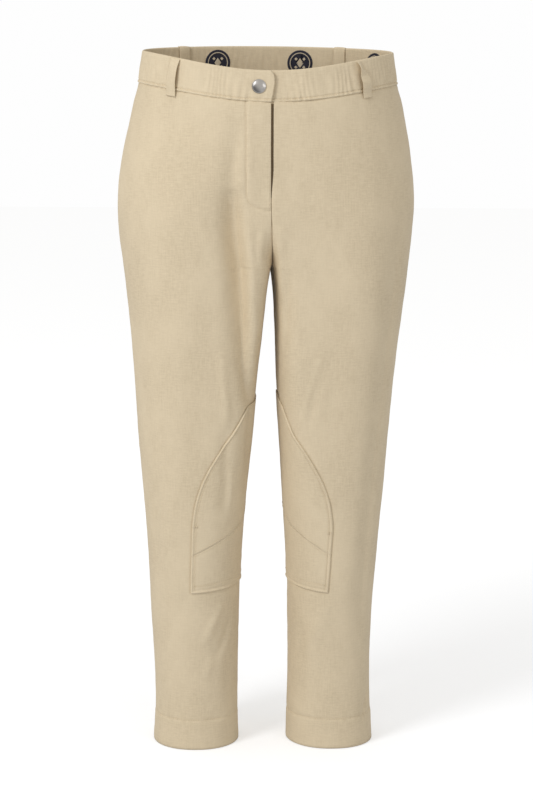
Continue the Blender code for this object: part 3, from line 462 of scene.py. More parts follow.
def patch_distance(side, reach, height):
    """How far a spot lies from the nearest edge of the knee patch, roughly."""
    edge = read_table(PATCH_EDGE, SIDE_NAMES[side], np.clip(height, PATCH_FOOT - PATCH_FOOT_FALL, PATCH_TOP))
    steep = np.gradient(read_table(PATCH_EDGE, SIDE_NAMES[side], LEVELS), LEVELS)
    to_side = (edge - reach) / np.sqrt(1 + np.interp(height, LEVELS, steep) ** 2)
    foot = patch_foot(np.clip(reach / edge, 0, 1))
    below, beside = np.maximum(foot - height, 0), np.maximum(-to_side, 0)
    inside = np.minimum(np.maximum(to_side, 0), np.maximum(height - foot, 0))
    above = np.maximum(height - PATCH_TOP, 0)
    return np.hypot(np.hypot(below, beside), above) + inside


def row_height(half, share, height):
    """The height of a row that is level at the side seam, at a share of the way to it."""
    cosine = np.cos(np.clip(np.abs(share), 0.0, 1.0) * math.pi / 2)
    fade = smoothstep((height - DIP_ENDS) / -DIP_ENDS)
    dip = np.where(half == FRONT, WAIST_DIP_FRONT * cosine ** DIP_ROUND_FRONT,
                   WAIST_RISE_BACK * cosine ** DIP_ROUND_BACK)
    return height + dip * fade


def unevenness(u, v, size_u, size_v, seed):
    """Smooth random values from -1 to 1 over (u, v) in metres, in patches of these sizes."""
    grid = np.random.default_rng(seed).uniform(-1, 1, (97, 97))
    x, y = u / size_u + 31.7, v / size_v + 57.3
    i, j = np.floor(x).astype(int), np.floor(y).astype(int)
    fx, fy = smoothstep(x - i), smoothstep(y - j)
    i, j = i % 96, j % 96
    top = grid[i, j] * (1 - fx) + grid[i + 1, j] * fx
    bottom = grid[i, j + 1] * (1 - fx) + grid[i + 1, j + 1] * fx
    return top * (1 - fy) + bottom * fy


def seat_turn(half, height):
    """1 where the centre seam runs in under the body, so that its two edges face each other."""
    below = smoothstep((SEAT_STARTS[half] + 28 * MM - height) / (26 * MM))
    return below * smoothstep((height - CROTCH) / (12 * MM) + 1)


def surface_rise(side, half, along, height):
    """Everything that lifts the cloth of a leg panel off its plain form."""
    seed = 10 + 2 * side + half
    rise = creases_at(side, half, along, height)
    across = across_grain(side, half, along, height)
    length = quarter_length(side, half, height)
    calm = 0.50 * unevenness(across, height, 30 * MM, 66 * MM, seed)
    calm += 0.24 * unevenness(across + 0.3 * height, height, 15 * MM, 26 * MM, seed + 20)
    calm += 0.08 * unevenness(across - 0.5 * height, height, 7 * MM, 11 * MM, seed + 40)
    calm *= smoothstep((height - FLOOR) / (6 * MM)) * smoothstep((-BAND_DEPTH - 2 * MM - height) / (20 * MM))
    rise = rise + calm * MM * smoothstep(along / (12 * MM)) * smoothstep((length - along) / (12 * MM))
    for to_seam, shift in ((along, 60), (length - along, 80)):
        pucker = unevenness(height, to_seam * 0 + shift * MM, 9 * MM, 1.0, seed + shift)
        held = seat_turn(half, height) if shift == 60 else 0.0
        rise += 0.35 * MM * pucker * np.exp(-to_seam / (9 * MM)) * (1 - held)
    share = along / length
    to_waist = row_height(half, share, -BAND_DEPTH) - height
    gathers = unevenness(across, along * 0, 8 * MM, 1.0, seed + 7)
    rise += 0.45 * MM * gathers * np.exp(-np.maximum(to_waist, 0) / (9 * MM))
    to_hem = height - FLOOR - HEM_DEPTH + HEM_STITCH
    drags = unevenness(across + to_hem * 0.7, along * 0, 8 * MM, 1.0, seed + 9)
    rise += 0.40 * MM * drags * np.exp(-np.abs(to_hem) / (8 * MM))
    rise -= 0.55 * MM * bell(to_hem, GROOVE)
    rise += 0.45 * MM * smoothstep(-to_hem / (3 * MM))
    if (side, half) == (RIGHT, FRONT):
        slope = (facing_edge(height + 0.5 * MM) - facing_edge(height - 0.5 * MM)) / MM
        to_row = (facing_edge(height) - along) / np.sqrt(1 + slope ** 2)
        shown = smoothstep((height - FACING_FOOT) / (2 * MM) + 1.5)
        rise += shown * (0.7 * smoothstep(to_row / (2 * MM)) - bell(to_row, GROOVE)) * MM
        folds = unevenness(height + 0.4 * across, height * 0, 7 * MM, 1.0, 33)
        rise += 0.3 * MM * folds * shown * np.exp(-np.abs(to_row) / (6 * MM))
    to_patch = patch_distance(side, np.abs(along), height)
    return rise - 0.7 * MM * bell(to_patch, GROOVE)


print("unevenness:", unevenness(np.array([0.01, 0.02]), np.array([0.0, 0.0]), 0.01, 0.01, 3).round(2))

# %% [markdown]
# One function now places any spot of cloth. It takes how far along the cloth the spot lies and how
# high, and gives the point and the direction out of the cloth. Everything sewn on the trousers is
# placed by it, with a lift, so nothing can float or sink.

# %% Place spots on the cloth
PROBE = 1.6 * MM
CHUNK = 6000


def fly_open(height):
    """1 along the fly's opening, 0 below its foot."""
    return smoothstep((height - FLY_FOOT) / (45 * MM))


def beside_fly(along, height):
    """1 next to the fly's opening, fading away from it."""
    return fly_open(height) * (1 - smoothstep((along - 15 * MM) / (24 * MM)))


def plain_cloth(side, half, along, height):
    """Points and outward directions for flat lists of spots on one panel."""
    spots, normals = np.zeros((len(along), 2)), np.zeros((len(along), 2))
    for first in range(0, len(along), CHUNK):
        part = slice(first, first + CHUNK)
        section = quarter_section(side, half, height[part])
        reached = section_reach(section)
        spots[part] = step_off(section, reached, along[part])
        tangent = (step_off(section, reached, along[part] + PROBE)
                   - step_off(section, reached, along[part] - PROBE))
        tangent /= np.maximum(np.linalg.norm(tangent, axis=1, keepdims=True), 1e-12)
        normals[part] = np.stack([-tangent[:, 1], tangent[:, 0]], axis=1) * side * half
    return spots, normals


def cloth(side, half, along, height, lift=0.0, creased=True):
    """Points on the cloth and directions out of it; along below 0 goes on over the inner seam."""
    along, height, lift = np.broadcast_arrays(*(np.asarray(a, float) for a in (along, height, lift)))
    shape = along.shape
    along, height, lift = along.ravel(), height.ravel(), lift.ravel()
    points, outward = np.zeros((len(along), 3)), np.zeros((len(along), 3))
    above = height > CROTCH
    for mask, this_side, this_half in ((along >= 0, side, half), ((along < 0) & above, -side, half),
                                       ((along < 0) & ~above, side, -half)):
        if not mask.any():
            continue
        reach, level = np.abs(along[mask]), height[mask]
        spots, normals = plain_cloth(this_side, this_half, reach, level)
        rise = lift[mask].copy()
        if creased:
            rise += surface_rise(this_side, this_half, reach, level)
        points[mask] = np.column_stack([spots + normals * rise[:, None], level])
        outward[mask] = np.column_stack([normals, np.zeros(len(level))])
    return points.reshape(shape + (3,)), outward.reshape(shape + (3,))


spot, direction = cloth(RIGHT, FRONT, 0.1, -0.5)
print("a spot on the right thigh:", spot.round(3), "faces", direction.round(2))

# %% [markdown]
# Materials are written as sums. A small class wraps a node's output, so that `1 - mask` or
# `weave * 0.5` adds the Math nodes by itself. Colours are mixed in their own method, because a Math
# node would turn a colour grey.

# %% Write shader sums
class Tree:
    """A material's nodes, added one by one."""

    def __init__(self, owner, shader="Principled BSDF"):
        owner.use_nodes = True
        self.nodes = owner.node_tree.nodes
        self.links = owner.node_tree.links
        self.shader = self.nodes[shader]

    def add(self, kind, settings=(), out=0, **sockets):
        node = self.nodes.new(kind)
        for name, value in dict(settings).items():
            setattr(node, name, value)
        for name, value in sockets.items():
            self.feed(self.find(node, name), value)
        return Value(self, node.outputs[out])

    @staticmethod
    def find(node, name):
        if name.startswith("at_"):
            return node.inputs[int(name[3:])]
        return node.inputs[name.replace("_", " ")]

    def feed(self, socket, value):
        if isinstance(value, Value):
            self.links.new(value.socket, socket)
        else:
            socket.default_value = value

    def mix(self, share, first, second):
        """Colours: first where share is 0, second where it is 1."""
        return self.add("ShaderNodeMix", {"data_type": "RGBA"}, out=2, at_0=share, at_6=first, at_7=second)


class Value:
    """A socket's value, which sums can be written with."""

    def __init__(self, tree, socket):
        self.tree, self.socket = tree, socket

    def math(self, operation, first, second=0.0):
        return self.tree.add("ShaderNodeMath", {"operation": operation}, at_0=first, at_1=second)

    def __add__(self, other):
        return self.math("ADD", self, other)

    __radd__ = __add__

    def __sub__(self, other):
        return self.math("SUBTRACT", self, other)

    def __rsub__(self, other):
        return self.math("SUBTRACT", other, self)

    def __mul__(self, other):
        return self.math("MULTIPLY", self, other)

    __rmul__ = __mul__

    def clamp(self, low, high):
        """From 0 at low to 1 at high, smoothly."""
        return self.tree.add("ShaderNodeMapRange", {"interpolation_type": "SMOOTHSTEP"},
                             Value=self, From_Min=low, From_Max=high)


print("shader sums ready")

# %% [markdown]
# The cloth is a stretch cotton twill. Close by it is a fine diagonal rib with uneven threads; from
# where the picture was taken the threads only show as faint streaks both ways. The streaks come from
# noise that is stretched along one thread direction, in metres on the cloth, so the weave keeps its
# true scale on every piece. The rib is relief alone.

# %% Mix the twill
def twill(name, colour, shade, seed=0.0):
    """A woven cloth: colour and shade are the lighter and darker thread colours."""
    material = bpy.data.materials.new(name)
    tree = Tree(material)
    place = tree.add("ShaderNodeUVMap", {"uv_map": "cloth"})

    def streaks(across, down, roughness=0.55):
        spread = tree.add("ShaderNodeVectorMath", {"operation": "MULTIPLY_ADD"}, at_0=place,
                          at_1=(across, down, 1.0), at_2=(seed, seed * 1.7, seed))
        return tree.add("ShaderNodeTexNoise", {"noise_dimensions": "2D"}, Vector=spread, Scale=1.0,
                        Detail=3.0, Roughness=roughness)

    weft = streaks(90, 620)
    warp = streaks(560, 60)
    cloud = streaks(14, 9, 0.6)
    fleck = streaks(420, 420, 0.5)
    threads = (weft * 0.5 + warp * 0.4 + fleck * 0.25 - 0.075).clamp(0.25, 0.75)
    tone = tree.mix(threads, (*shade, 1.0), (*colour, 1.0))
    worn = tuple(min(1.0, channel * 1.05) for channel in colour)
    tone = tree.mix((cloud.clamp(0.3, 0.75)) * 0.6, tone, (*worn, 1.0))
    tree.feed(tree.shader.inputs["Base Color"], tone)
    tree.feed(tree.shader.inputs["Roughness"], threads * -0.08 + 0.9)
    split = tree.add("ShaderNodeSeparateXYZ", at_0=place)
    u, v = split, Value(tree, split.socket.node.outputs[1])
    ribs = split.math("SINE", (u + v * 1.2) * (math.tau / 0.0011))
    relief = ribs * 0.10 + weft * 0.5 + warp * 0.4 + fleck * 0.3
    bump = tree.add("ShaderNodeBump", Strength=0.35, Distance=0.0004, Height=relief)
    tree.feed(tree.shader.inputs["Normal"], bump)
    tree.shader.inputs["Sheen Weight"].default_value = 0.10
    tree.shader.inputs["Sheen Roughness"].default_value = 0.35
    tree.shader.inputs["Specular IOR Level"].default_value = 0.22
    return material


beige_twill = twill("beige_twill", (0.705, 0.598, 0.432), (0.605, 0.502, 0.350))
# painted shade: a darker, warmer copy of the beige twill, used for the fly shield in the slit's shade
shield_twill_painted_dark = twill("shield_twill_painted_dark", (0.575, 0.480, 0.335), (0.480, 0.390, 0.265), seed=3.0)
print("cloths:", beige_twill.name, shield_twill_painted_dark.name)

# %% [markdown]
# Thread, tape, metal and the dark discs are simpler. The snap's metal is satin: rough enough to
# blur what it mirrors. A white studio gives it nothing dark to mirror, so a painted reflection
# darkens its colour on the lower left, by the way each spot faces. The discs are a dense dark print.

# %% Mix the trims
def trim(name, colour, shade, roughness, metallic=0.0, grain=900.0, painted_dark_reflection=0.0):
    """A plain finish, mottled by the object's own coordinates, with an optional painted dark reflection."""
    material = bpy.data.materials.new(name)
    tree = Tree(material)
    place = tree.add("ShaderNodeTexCoord", out=3)
    mottle = tree.add("ShaderNodeTexNoise", Vector=place, Scale=grain, Detail=2.0)
    plain = tree.mix(mottle, (*shade, 1.0), (*colour, 1.0))
    if painted_dark_reflection:
        # painted reflection: spots turned to the lower left darken toward near-black, as if a dark wall were
        # mirrored there
        facing = tree.add("ShaderNodeNewGeometry", out=1)
        turned = tree.add("ShaderNodeVectorMath", {"operation": "DOT_PRODUCT"}, out=1,
                          at_0=facing, at_1=(-0.85, 0.0, -0.53))
        plain = tree.mix(turned.clamp(-0.08, 0.24) * painted_dark_reflection, plain, (0.03, 0.03, 0.035, 1.0))
    tree.feed(tree.shader.inputs["Base Color"], plain)
    tree.feed(tree.shader.inputs["Roughness"], mottle * 0.12 + (roughness - 0.06))
    bump = tree.add("ShaderNodeBump", Strength=0.25, Distance=0.0001, Height=mottle)
    tree.feed(tree.shader.inputs["Normal"], bump)
    tree.shader.inputs["Metallic"].default_value = metallic
    return material


thread = trim("thread", (0.77, 0.665, 0.495), (0.67, 0.57, 0.41), 0.7)
# painted shade: the zip tape's dark brown stands in for the shade in the fly's slit
zip_tape = trim("zip_tape", (0.30, 0.22, 0.13), (0.20, 0.14, 0.08), 0.85)
# the snap's satin metal, with its lower left darkened by a painted dark reflection
satin_silver = trim("satin_silver", (0.60, 0.58, 0.56), (0.50, 0.48, 0.47), 0.30, metallic=1.0, painted_dark_reflection=0.72)
navy_print = trim("navy_print", (0.014, 0.016, 0.036), (0.008, 0.009, 0.022), 0.6)
pale_print = trim("pale_print", (0.60, 0.52, 0.40), (0.50, 0.43, 0.32), 0.7)
print("trims:", [m.name for m in (thread, zip_tape, satin_silver, navy_print, pale_print)])

# %% [markdown]
# Each piece of cloth starts as a grid of points. The grid becomes a mesh of four-sided faces, gets a
# map of its true size on the cloth for the weave, and a Solidify modifier turns it into a thin shell.
# Where a finished piece stands for a solid of the rigid model, that solid is hidden.

# %% Make pieces from grids
def grid_mesh(name, points, spots, outward, ring=False):
    """A mesh over a grid of points; spots are the grid's places on the cloth in metres."""
    rows, columns = points.shape[:2]
    index = np.arange(rows * columns).reshape(rows, columns)
    if ring:
        index = np.concatenate([index, index[:1]], axis=0)
    quads = np.stack([index[:-1, :-1], index[:-1, 1:], index[1:, 1:], index[1:, :-1]], axis=-1)
    row, column = middle = (rows // 3, columns // 2)
    facing = np.cross(points[row, column + 1] - points[middle],
                      points[row + 1, column] - points[middle]) @ outward[middle]
    quads = quads.reshape(-1, 4)
    if facing < 0:
        quads = quads[:, ::-1]
    mesh = bpy.data.meshes.new(name)
    mesh.from_pydata(points.reshape(-1, 3).tolist(), [], quads.tolist())
    layer = mesh.uv_layers.new(name="cloth")
    corner = np.zeros(len(mesh.loops), dtype=np.int32)
    mesh.loops.foreach_get("vertex_index", corner)
    layer.data.foreach_set("uv", spots.reshape(-1, 2)[corner].astype(np.float32).ravel())
    return mesh


def close_ends(mesh):
    """Fill the open ends of a tube and turn all its faces outward."""
    shape = bmesh.new()
    shape.from_mesh(mesh)
    bmesh.ops.holes_fill(shape, edges=[e for e in shape.edges if e.is_boundary], sides=0)
    bmesh.ops.recalc_face_normals(shape, faces=shape.faces)
    shape.to_mesh(mesh)
    shape.free()


def add_piece(mesh, material, nodes=(), thickness=0.0):
    """Put a mesh in the scene as a finished piece of the trousers."""
    mesh.materials.append(material)
    mesh.shade_smooth()
    piece = bpy.data.objects.new(mesh.name, mesh)
    bpy.context.scene.collection.objects.link(piece)
    if thickness:
        shell = piece.modifiers.new("shell", "SOLIDIFY")
        shell.thickness = thickness
        shell.offset = -1.0
        shell.use_even_offset = False
    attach(piece, "root")
    if nodes:
        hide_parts(*nodes)
    return piece


print("piece makers ready")

# %% [markdown]
# The four leg panels are cut first. Their columns run from the inner seam to the side seam and sit
# closer together where the section turns. Each edge rolls in where it is sewn, which draws the seam
# as a soft groove. The hem is really turned up: the rows go down to the floor, round, and 38 mm back
# up inside.

# %% Cut the leg panels
COLUMNS = 110
INNER_COLUMNS = 33
PANEL_ROWS = 300
SHELL = 0.9 * MM
EDGE_ROLL, EDGE_WIDTH = 1.3 * MM, 1.5 * MM
TURN_UP_HEIGHTS = (0.0, 0.6, 2.0, 10.0, 19.0, 28.0, 38.0)
TURN_UP_DEPTHS = (0.9, 2.0, 2.4, 2.4, 2.4, 2.4, 2.4)
UNDER_BAND = 4 * MM


def crowd(marks, line, reach, pull):
    """Draw marks together round a line, from this far away."""
    return marks - pull * (marks - line) * bell(marks - line, reach)


def panel_rows():
    """Heights at the side seam, closer together round the crotch."""
    top, hem = -BAND_DEPTH + UNDER_BAND, FLOOR
    count = PANEL_ROWS // 3
    turn = np.sin(np.linspace(0, math.pi / 2, count + 1))
    upper = top + (CROTCH - top) * (np.linspace(0, 1, count + 1) * 0.35 + turn * 0.65)
    upper = crowd(upper, (FACING_TURN + FACING_FOOT) / 2, 18 * MM, 0.6)
    lower = CROTCH + (hem - CROTCH) * np.linspace(0, 1, PANEL_ROWS - count + 1)[1:] ** 1.03
    for line in (PATCH_FOOT - PATCH_FOOT_FALL / 2, FLOOR + HEM_DEPTH - HEM_STITCH):
        lower = crowd(lower, line, 16 * MM, 0.72)
    return np.concatenate([upper, lower])


def panel_columns(side, half, level):
    """How far along the cloth the columns lie at each height."""
    section = quarter_section(side, half, level)
    reached = section_reach(section)
    length = reached[:, -1:]
    corner = reached[:, ARC_POINTS // 2][:, None]
    inward = np.linspace(1, 0, INNER_COLUMNS + 1)[None, :-1]
    onward = np.linspace(0, 1, COLUMNS + 1 - INNER_COLUMNS)[None, :]
    own = np.concatenate([corner * (1 - inward ** 1.3), corner + (length - corner) * onward ** 1.25], axis=1)
    own = crowd(crowd(own, 0.0, 8 * MM, 0.6), length, 8 * MM, 0.6)
    edge = read_table(PATCH_EDGE, SIDE_NAMES[side], level)[:, None]
    beside = smoothstep((PATCH_TOP - level) / (20 * MM)) * smoothstep((level - PATCH_FOOT) / (20 * MM) + 1.4)
    beside = beside[:, None] * smoothstep((edge - 14 * MM) / (26 * MM))
    own = crowd(own, edge, 15 * MM, 0.75 * beside)
    if (side, half) == (RIGHT, FRONT):
        facing = smoothstep((level - FACING_FOOT) / (15 * MM) + 1.0)[:, None]
        own = crowd(own, np.maximum(facing_edge(level), 4 * MM)[:, None], 9 * MM, 0.65 * facing)
    return own - own[:, :1] * (1 - own / length)


def edge_roll(to_edge):
    return -EDGE_ROLL * bell(to_edge, EDGE_WIDTH)


def cut_panel(side, half):
    level = panel_rows()
    along = panel_columns(side, half, level)
    share = along / along[:, -1:]
    height = row_height(half, share, level[:, None] * np.ones_like(along))
    length = quarter_length(side, half, height)
    start = SEAM_GAP / 2
    if (side, half) == (LEFT, FRONT):
        start = start + FLY_SLIT * fly_open(height)
    along = start + share * (length - SEAM_GAP / 2 - start)
    closing = (1.0 if half == BACK else 0.7) * seat_turn(half, height)
    lift = edge_roll(along - start) * (1 - closing) + edge_roll(length - along)
    if half == FRONT:
        near_fly = beside_fly(along, height)
        lift = lift * (1 - 0.75 * near_fly) + near_fly * (0.7 if side == RIGHT else -0.9) * MM
    lift = lift - 1.6 * MM * smoothstep((height + BAND_DEPTH - row_height(half, share, 0.0)) / (2 * MM) + 0.5)
    points, outward = cloth(side, half, along, height, lift)
    # the hem turns up inside
    hem_height = FLOOR + np.array(TURN_UP_HEIGHTS)[:, None] * MM
    inward = np.array(TURN_UP_DEPTHS)[:, None] * MM
    hem_height[0] -= 0.35 * MM
    hem_along = along[-1:] * np.ones_like(inward)
    hem_height = hem_height * np.ones_like(hem_along)
    hem, hem_out = cloth(side, half, hem_along, hem_height,
                         -inward + edge_roll(hem_along) + edge_roll(length[-1:] - hem_along))
    points = np.concatenate([points, hem])
    outward = np.concatenate([outward, hem_out])
    level = np.concatenate([height, np.full_like(hem_along, FLOOR)])
    spots = np.stack([across_grain(side, half, np.concatenate([along, hem_along]), level),
                      np.concatenate([height, 2 * FLOOR - hem_height])], axis=-1)
    name = f"{SIDE_NAMES[side]}_{HALF_NAMES[half]}"
    mesh = grid_mesh(name, points, spots, outward)
    piece = add_piece(mesh, beige_twill, [f"{HALF_NAMES[half]}_{SIDE_NAMES[side]}"], SHELL)
    area = 1 * MM * float(quarter_length(side, half, np.arange(FLOOR, -BAND_DEPTH, 1 * MM)).sum())
    area += HEM_DEPTH * float(quarter_length(side, half, FLOOR))
    return piece


panels = [cut_panel(*quarter) for quarter in QUARTERS]
print("panels:", [(p.name, len(p.data.polygons)) for p in panels])

# %% [markdown]
# The waistband is one strip folded over at the top, with its ends overlapping under the snap. It is
# made as a closed tube of cloth: a flat oval section carried round the waist. Puckers run up and
# down it, a few millimetres apart, because the band was eased onto a curved waist.

# %% Sew the waistband
BAND_COLUMNS = 170
LAP_BULGE = 4.2 * MM
LAP_UNDER = 34 * MM
LAP_SUNK = 3.0 * MM
LAP_BLEND = 34 * MM
LAP_FULL = 8 * MM
LAP_PROUD = 2.6 * MM


def band_section():
    """(height share, depth) of the points round the band's section, outside first."""
    down = np.linspace(0, 1, 15)
    outside = [(share, 0.0) for share in np.linspace(0, 0.86, 11)]
    outside += [(0.88, 0.05), (0.9, 0.45), (0.92, 0.85), (0.938, 0.4), (0.955, -0.45), (0.985, -0.5),
                (1.004, 0.25)]
    foot = [(1.012, 0.5), (1.015, 1.2), (1.0, 1.9)]
    inside = [(share, 2.3) for share in down[::-1][1:-1]]
    top = [(0.02, 2.2), (-0.012, 1.9), (-0.028, 1.2), (-0.014, 0.4)]
    return outside + foot + inside + top


def band_pucker(side, half, along, height):
    """The band's ribs, strongest toward its seam."""
    seed = 70 + 2 * side + half
    down = np.clip(-height / BAND_DEPTH, 0, 1)
    phase = (along + 0.2 * height) / (8.8 * MM) + 1.3 * unevenness(along, height, 24 * MM, 60 * MM, seed)
    ribs = np.sin(math.tau * phase) * (0.6 + 0.4 * unevenness(along, height, 17 * MM, 30 * MM, seed + 2))
    ribs += 0.5 * unevenness(along - 0.3 * height, height, 6 * MM, 26 * MM, seed + 4)
    soft = unevenness(along, height, 40 * MM, 60 * MM, seed + 8)
    strength = 0.85 if half == FRONT else 0.4
    return (strength * ribs * (0.35 + 0.65 * smoothstep(down * 1.4)) + 0.4 * soft) * MM


def sew_band():
    quarter = float(quarter_length(LEFT, FRONT, -0.02))
    points, outwards, spots = [], [], []
    for down, depth in band_section():
        height = -BAND_DEPTH * down
        end = -LAP_BULGE * math.sin(math.pi * min(max(down, 0.0), 1.0) ** 0.55)
        steps = np.linspace(0, 1, BAND_COLUMNS + 1)
        run = [(RIGHT, FRONT, (end + (quarter - end) * s) / quarter, 0.0) for s in steps]
        run += [(RIGHT, BACK, 1 - s, 0.0) for s in steps[1:]]
        run += [(LEFT, BACK, s, 0.0) for s in steps[1:]]
        for s in steps[1:]:
            sunk = float(smoothstep(1 - ((1 - s) * quarter - LAP_FULL) / LAP_BLEND))
            run.append((LEFT, FRONT, 1 - s, sunk))
        run += [(RIGHT, FRONT, LAP_UNDER / quarter * s, 1.0) for s in np.linspace(0, 1, 15)[1:]]
        side, half, share, sunk = (np.array(c) for c in zip(*run))
        level = row_height(half, share, height)
        row, out = np.zeros((len(run), 3)), np.zeros((len(run), 3))
        reach = np.zeros(len(run))
        for s in (RIGHT, LEFT):
            for h in (FRONT, BACK):
                mine = (side == s) & (half == h)
                along = share[mine] * quarter_length(s, h, level[mine])
                lift = BAND_PROUD - sunk[mine] * LAP_SUNK - depth * MM
                lift = lift + band_pucker(s, h, along, np.full_like(along, height)) * (1 - 0.5 * sunk[mine])
                if (s, h) == (RIGHT, FRONT):
                    lift = lift + LAP_PROUD * np.exp(-np.abs(along - end) / (11 * MM)) * (sunk[mine] == 0)
                row[mine], out[mine] = cloth(s, h, along, level[mine], lift, creased=False)
                reach[mine] = s * along if h == FRONT else s * (0.45 - along)
        # the two ends close to an edge
        pinch = np.ones(len(run))
        pinch[:3] = (0.25, 0.75, 0.95)
        pinch[-3:] = (0.95, 0.75, 0.25)
        row -= out * ((1.2 - depth) * MM * (1 - pinch))[:, None]
        points.append(row)
        outwards.append(out * (1.0 if depth < 1.2 else -1.0))
        spots.append(np.stack([reach, np.full(len(run), height - depth * MM * 0.5)], axis=-1))
    mesh = grid_mesh("waistband_cloth", np.array(points), np.array(spots), np.array(outwards), ring=True)
    close_ends(mesh)
    return add_piece(mesh, beige_twill, ["waistband"])


waistband = sew_band()

# %% [markdown]
# Behind the fly lie the zip's tape and the shield, a strip of cloth that keeps the zip off the skin.
# Only a dark slit of them shows. They are two curved strips set back from the panels. Both are real
# parts, and their colours, the tape's dark brown and the shield's darker copy of the twill, are
# painted shade for the slit.

# %% Back the fly
FLY_STRIP_TOP = -61.5 * MM


def strip_behind_fly(name, node, material, to_right, to_left, lift, thickness):
    height = np.linspace(FLY_STRIP_TOP, FLY_FOOT + 6 * MM, 50)[:, None]
    along = np.linspace(-to_left, to_right, 24)[None, :]
    along, height = np.broadcast_arrays(along, height)
    ripple = 0.25 * MM * unevenness(along, height, 12 * MM, 25 * MM, 5)
    points, outward = cloth(RIGHT, FRONT, along, height, lift + ripple, creased=False)
    mesh = grid_mesh(name, points, np.stack([along, height], axis=-1), outward)
    piece = add_piece(mesh, material, [node], thickness)
    return piece


tape = strip_behind_fly("zip_strip", "fly_zip", zip_tape, 14 * MM, 14 * MM, -3.4 * MM, 0.7 * MM)
shield = strip_behind_fly("fly_shield_cloth", "fly_shield", shield_twill_painted_dark,
                          27 * MM, 16 * MM, -4.9 * MM, 0.8 * MM)
print("fly:", tape.name, shield.name)

# %% [markdown]
# The knee patches lie on the legs across the inseam. A patch is a grid between its own outline and
# is placed on the creased cloth, so every fold of the leg runs through it. Its edge is turned under,
# which leaves a rounded ridge of double cloth all round.

# %% Cut the knee patches
def patch_spot(side, across, down, lower):
    """A patch's spot (along, height): across is -1 to 1 from back edge to front, down 0 to 1."""
    seam = patch_seam(across)
    top, bottom = (seam + PATCH_TUCK, patch_foot(across)) if lower else (PATCH_TOP, seam)
    height = top + (bottom - top) * down
    return across * read_table(PATCH_EDGE, SIDE_NAMES[side], height), height


def cut_patch(side, lower):
    rows, columns = (60, 131) if lower else (110, 131)
    down = np.linspace(0, 1, rows)[:, None]
    spread = np.linspace(-1, 1, columns)
    across = (np.sign(spread) * (1 - (1 - np.abs(spread)) ** 1.5))[None, :]
    across, down = np.broadcast_arrays(across, 1 - (1 - down) ** 1.3 if lower else down ** 1.25)
    along, height = patch_spot(side, across, down, lower)
    edge = read_table(PATCH_EDGE, SIDE_NAMES[side], height)
    to_side = edge - np.abs(along)
    seam = patch_seam(across)
    to_foot = height - patch_foot(across) if lower else np.full_like(height, 1.0)
    to_seam = np.abs(height - seam)
    to_edge = np.minimum(to_side, to_foot)
    lift = 1.35 + 0.75 * bell(to_edge - 1.5 * MM, 1.4 * MM)
    lift -= 0.85 * bell(to_edge, 0.5 * MM)
    lift -= 0.45 * bell(to_edge - 4.8 * MM, 1.2 * MM)
    lift -= 0.3 * bell(to_foot - 10.5 * MM, 1.2 * MM)
    lift -= 0.25 * bell(to_seam - 2.4 * MM, 1.0 * MM)
    lift += 0.15 * bell(to_seam, 1.0 * MM)
    if lower:
        lift -= 0.75 * smoothstep((height - seam + 0.7 * MM) / (1.2 * MM))
    pucker = unevenness(along + height, along * 0, 6 * MM, 1.0, 41 + side) * np.exp(-to_edge / (6 * MM))
    pucker += 0.8 * unevenness(along, height * 0, 7 * MM, 1.0, 47 + side) * np.exp(-to_seam / (6 * MM))
    points, outward = cloth(side, FRONT, along, height, (lift + 0.3 * pucker) * MM)
    name = f"knee_patch_{'lower' if lower else 'upper'}_{SIDE_NAMES[side]}"
    mesh = grid_mesh(name + "_cloth", points, np.stack([along, height], axis=-1), outward)
    piece = add_piece(mesh, beige_twill, [name], 0.85 * MM)
    width = 2 * float(read_table(PATCH_EDGE, SIDE_NAMES[side], -0.58))
    tall = float(height.max() - height.min())
    area = float(np.sum((edge[:-1] + edge[1:]) * np.abs(np.diff(height, axis=0))) / columns)
    return piece


patches = [cut_patch(side, lower) for side in (RIGHT, LEFT) for lower in (False, True)]
print("patches:", [p.name for p in patches])

# %% [markdown]
# A belt loop is a narrow strip, folded lengthwise, that stands a few millimetres off the band. It is
# a closed tube with a flat section, carried along a line of heights and lifts. The left front loop
# has been twisted by use: its upper third turns edge-on and its lower part bellies out.

# %% Sew the belt loops
Loop = namedtuple("Loop", "name side half from_middle width slant twist twist_at twist_reach belly")
LOOPS = (
    Loop("belt_loop_front_right", RIGHT, FRONT, 123, 14, 5, -14, 0.5, 0.5, 0.4),
    Loop("belt_loop_front_left", LEFT, FRONT, 115, 13, 10, -44, 0.2, 0.24, 2.2),
    Loop("belt_loop_back_right", RIGHT, BACK, 108, 16, 0, 5, 0.4, 0.5, 0.0),
    Loop("belt_loop_back_left", LEFT, BACK, 104, 16, 0, -4, 0.6, 0.5, 0.0),
)
LoopPoint = namedtuple("LoopPoint", "height lift")
FRONT_LOOP_LINE = (
    LoopPoint(-48.0, 1.8), LoopPoint(-43.5, 2.3), LoopPoint(-39.0, 3.2), LoopPoint(-33.0, 4.4),
    LoopPoint(-20.0, 4.9), LoopPoint(-9.0, 3.9), LoopPoint(-2.5, 2.0), LoopPoint(-0.2, 1.6),
)
BACK_LOOP_LINE = (
    LoopPoint(-48.0, 1.0), LoopPoint(-43.5, 1.1), LoopPoint(-39.0, 2.1), LoopPoint(-33.0, 3.6),
    LoopPoint(-20.0, 4.4), LoopPoint(-8.0, 3.4), LoopPoint(-1.0, 1.8), LoopPoint(0.9, 1.0),
    LoopPoint(1.3, -0.6), LoopPoint(0.8, -2.2), LoopPoint(-1.5, -3.0), LoopPoint(-12.0, -4.0),
    LoopPoint(-26.0, -4.0), LoopPoint(-36.0, -2.9),
)
LOOP_WALL = 1.5 * MM


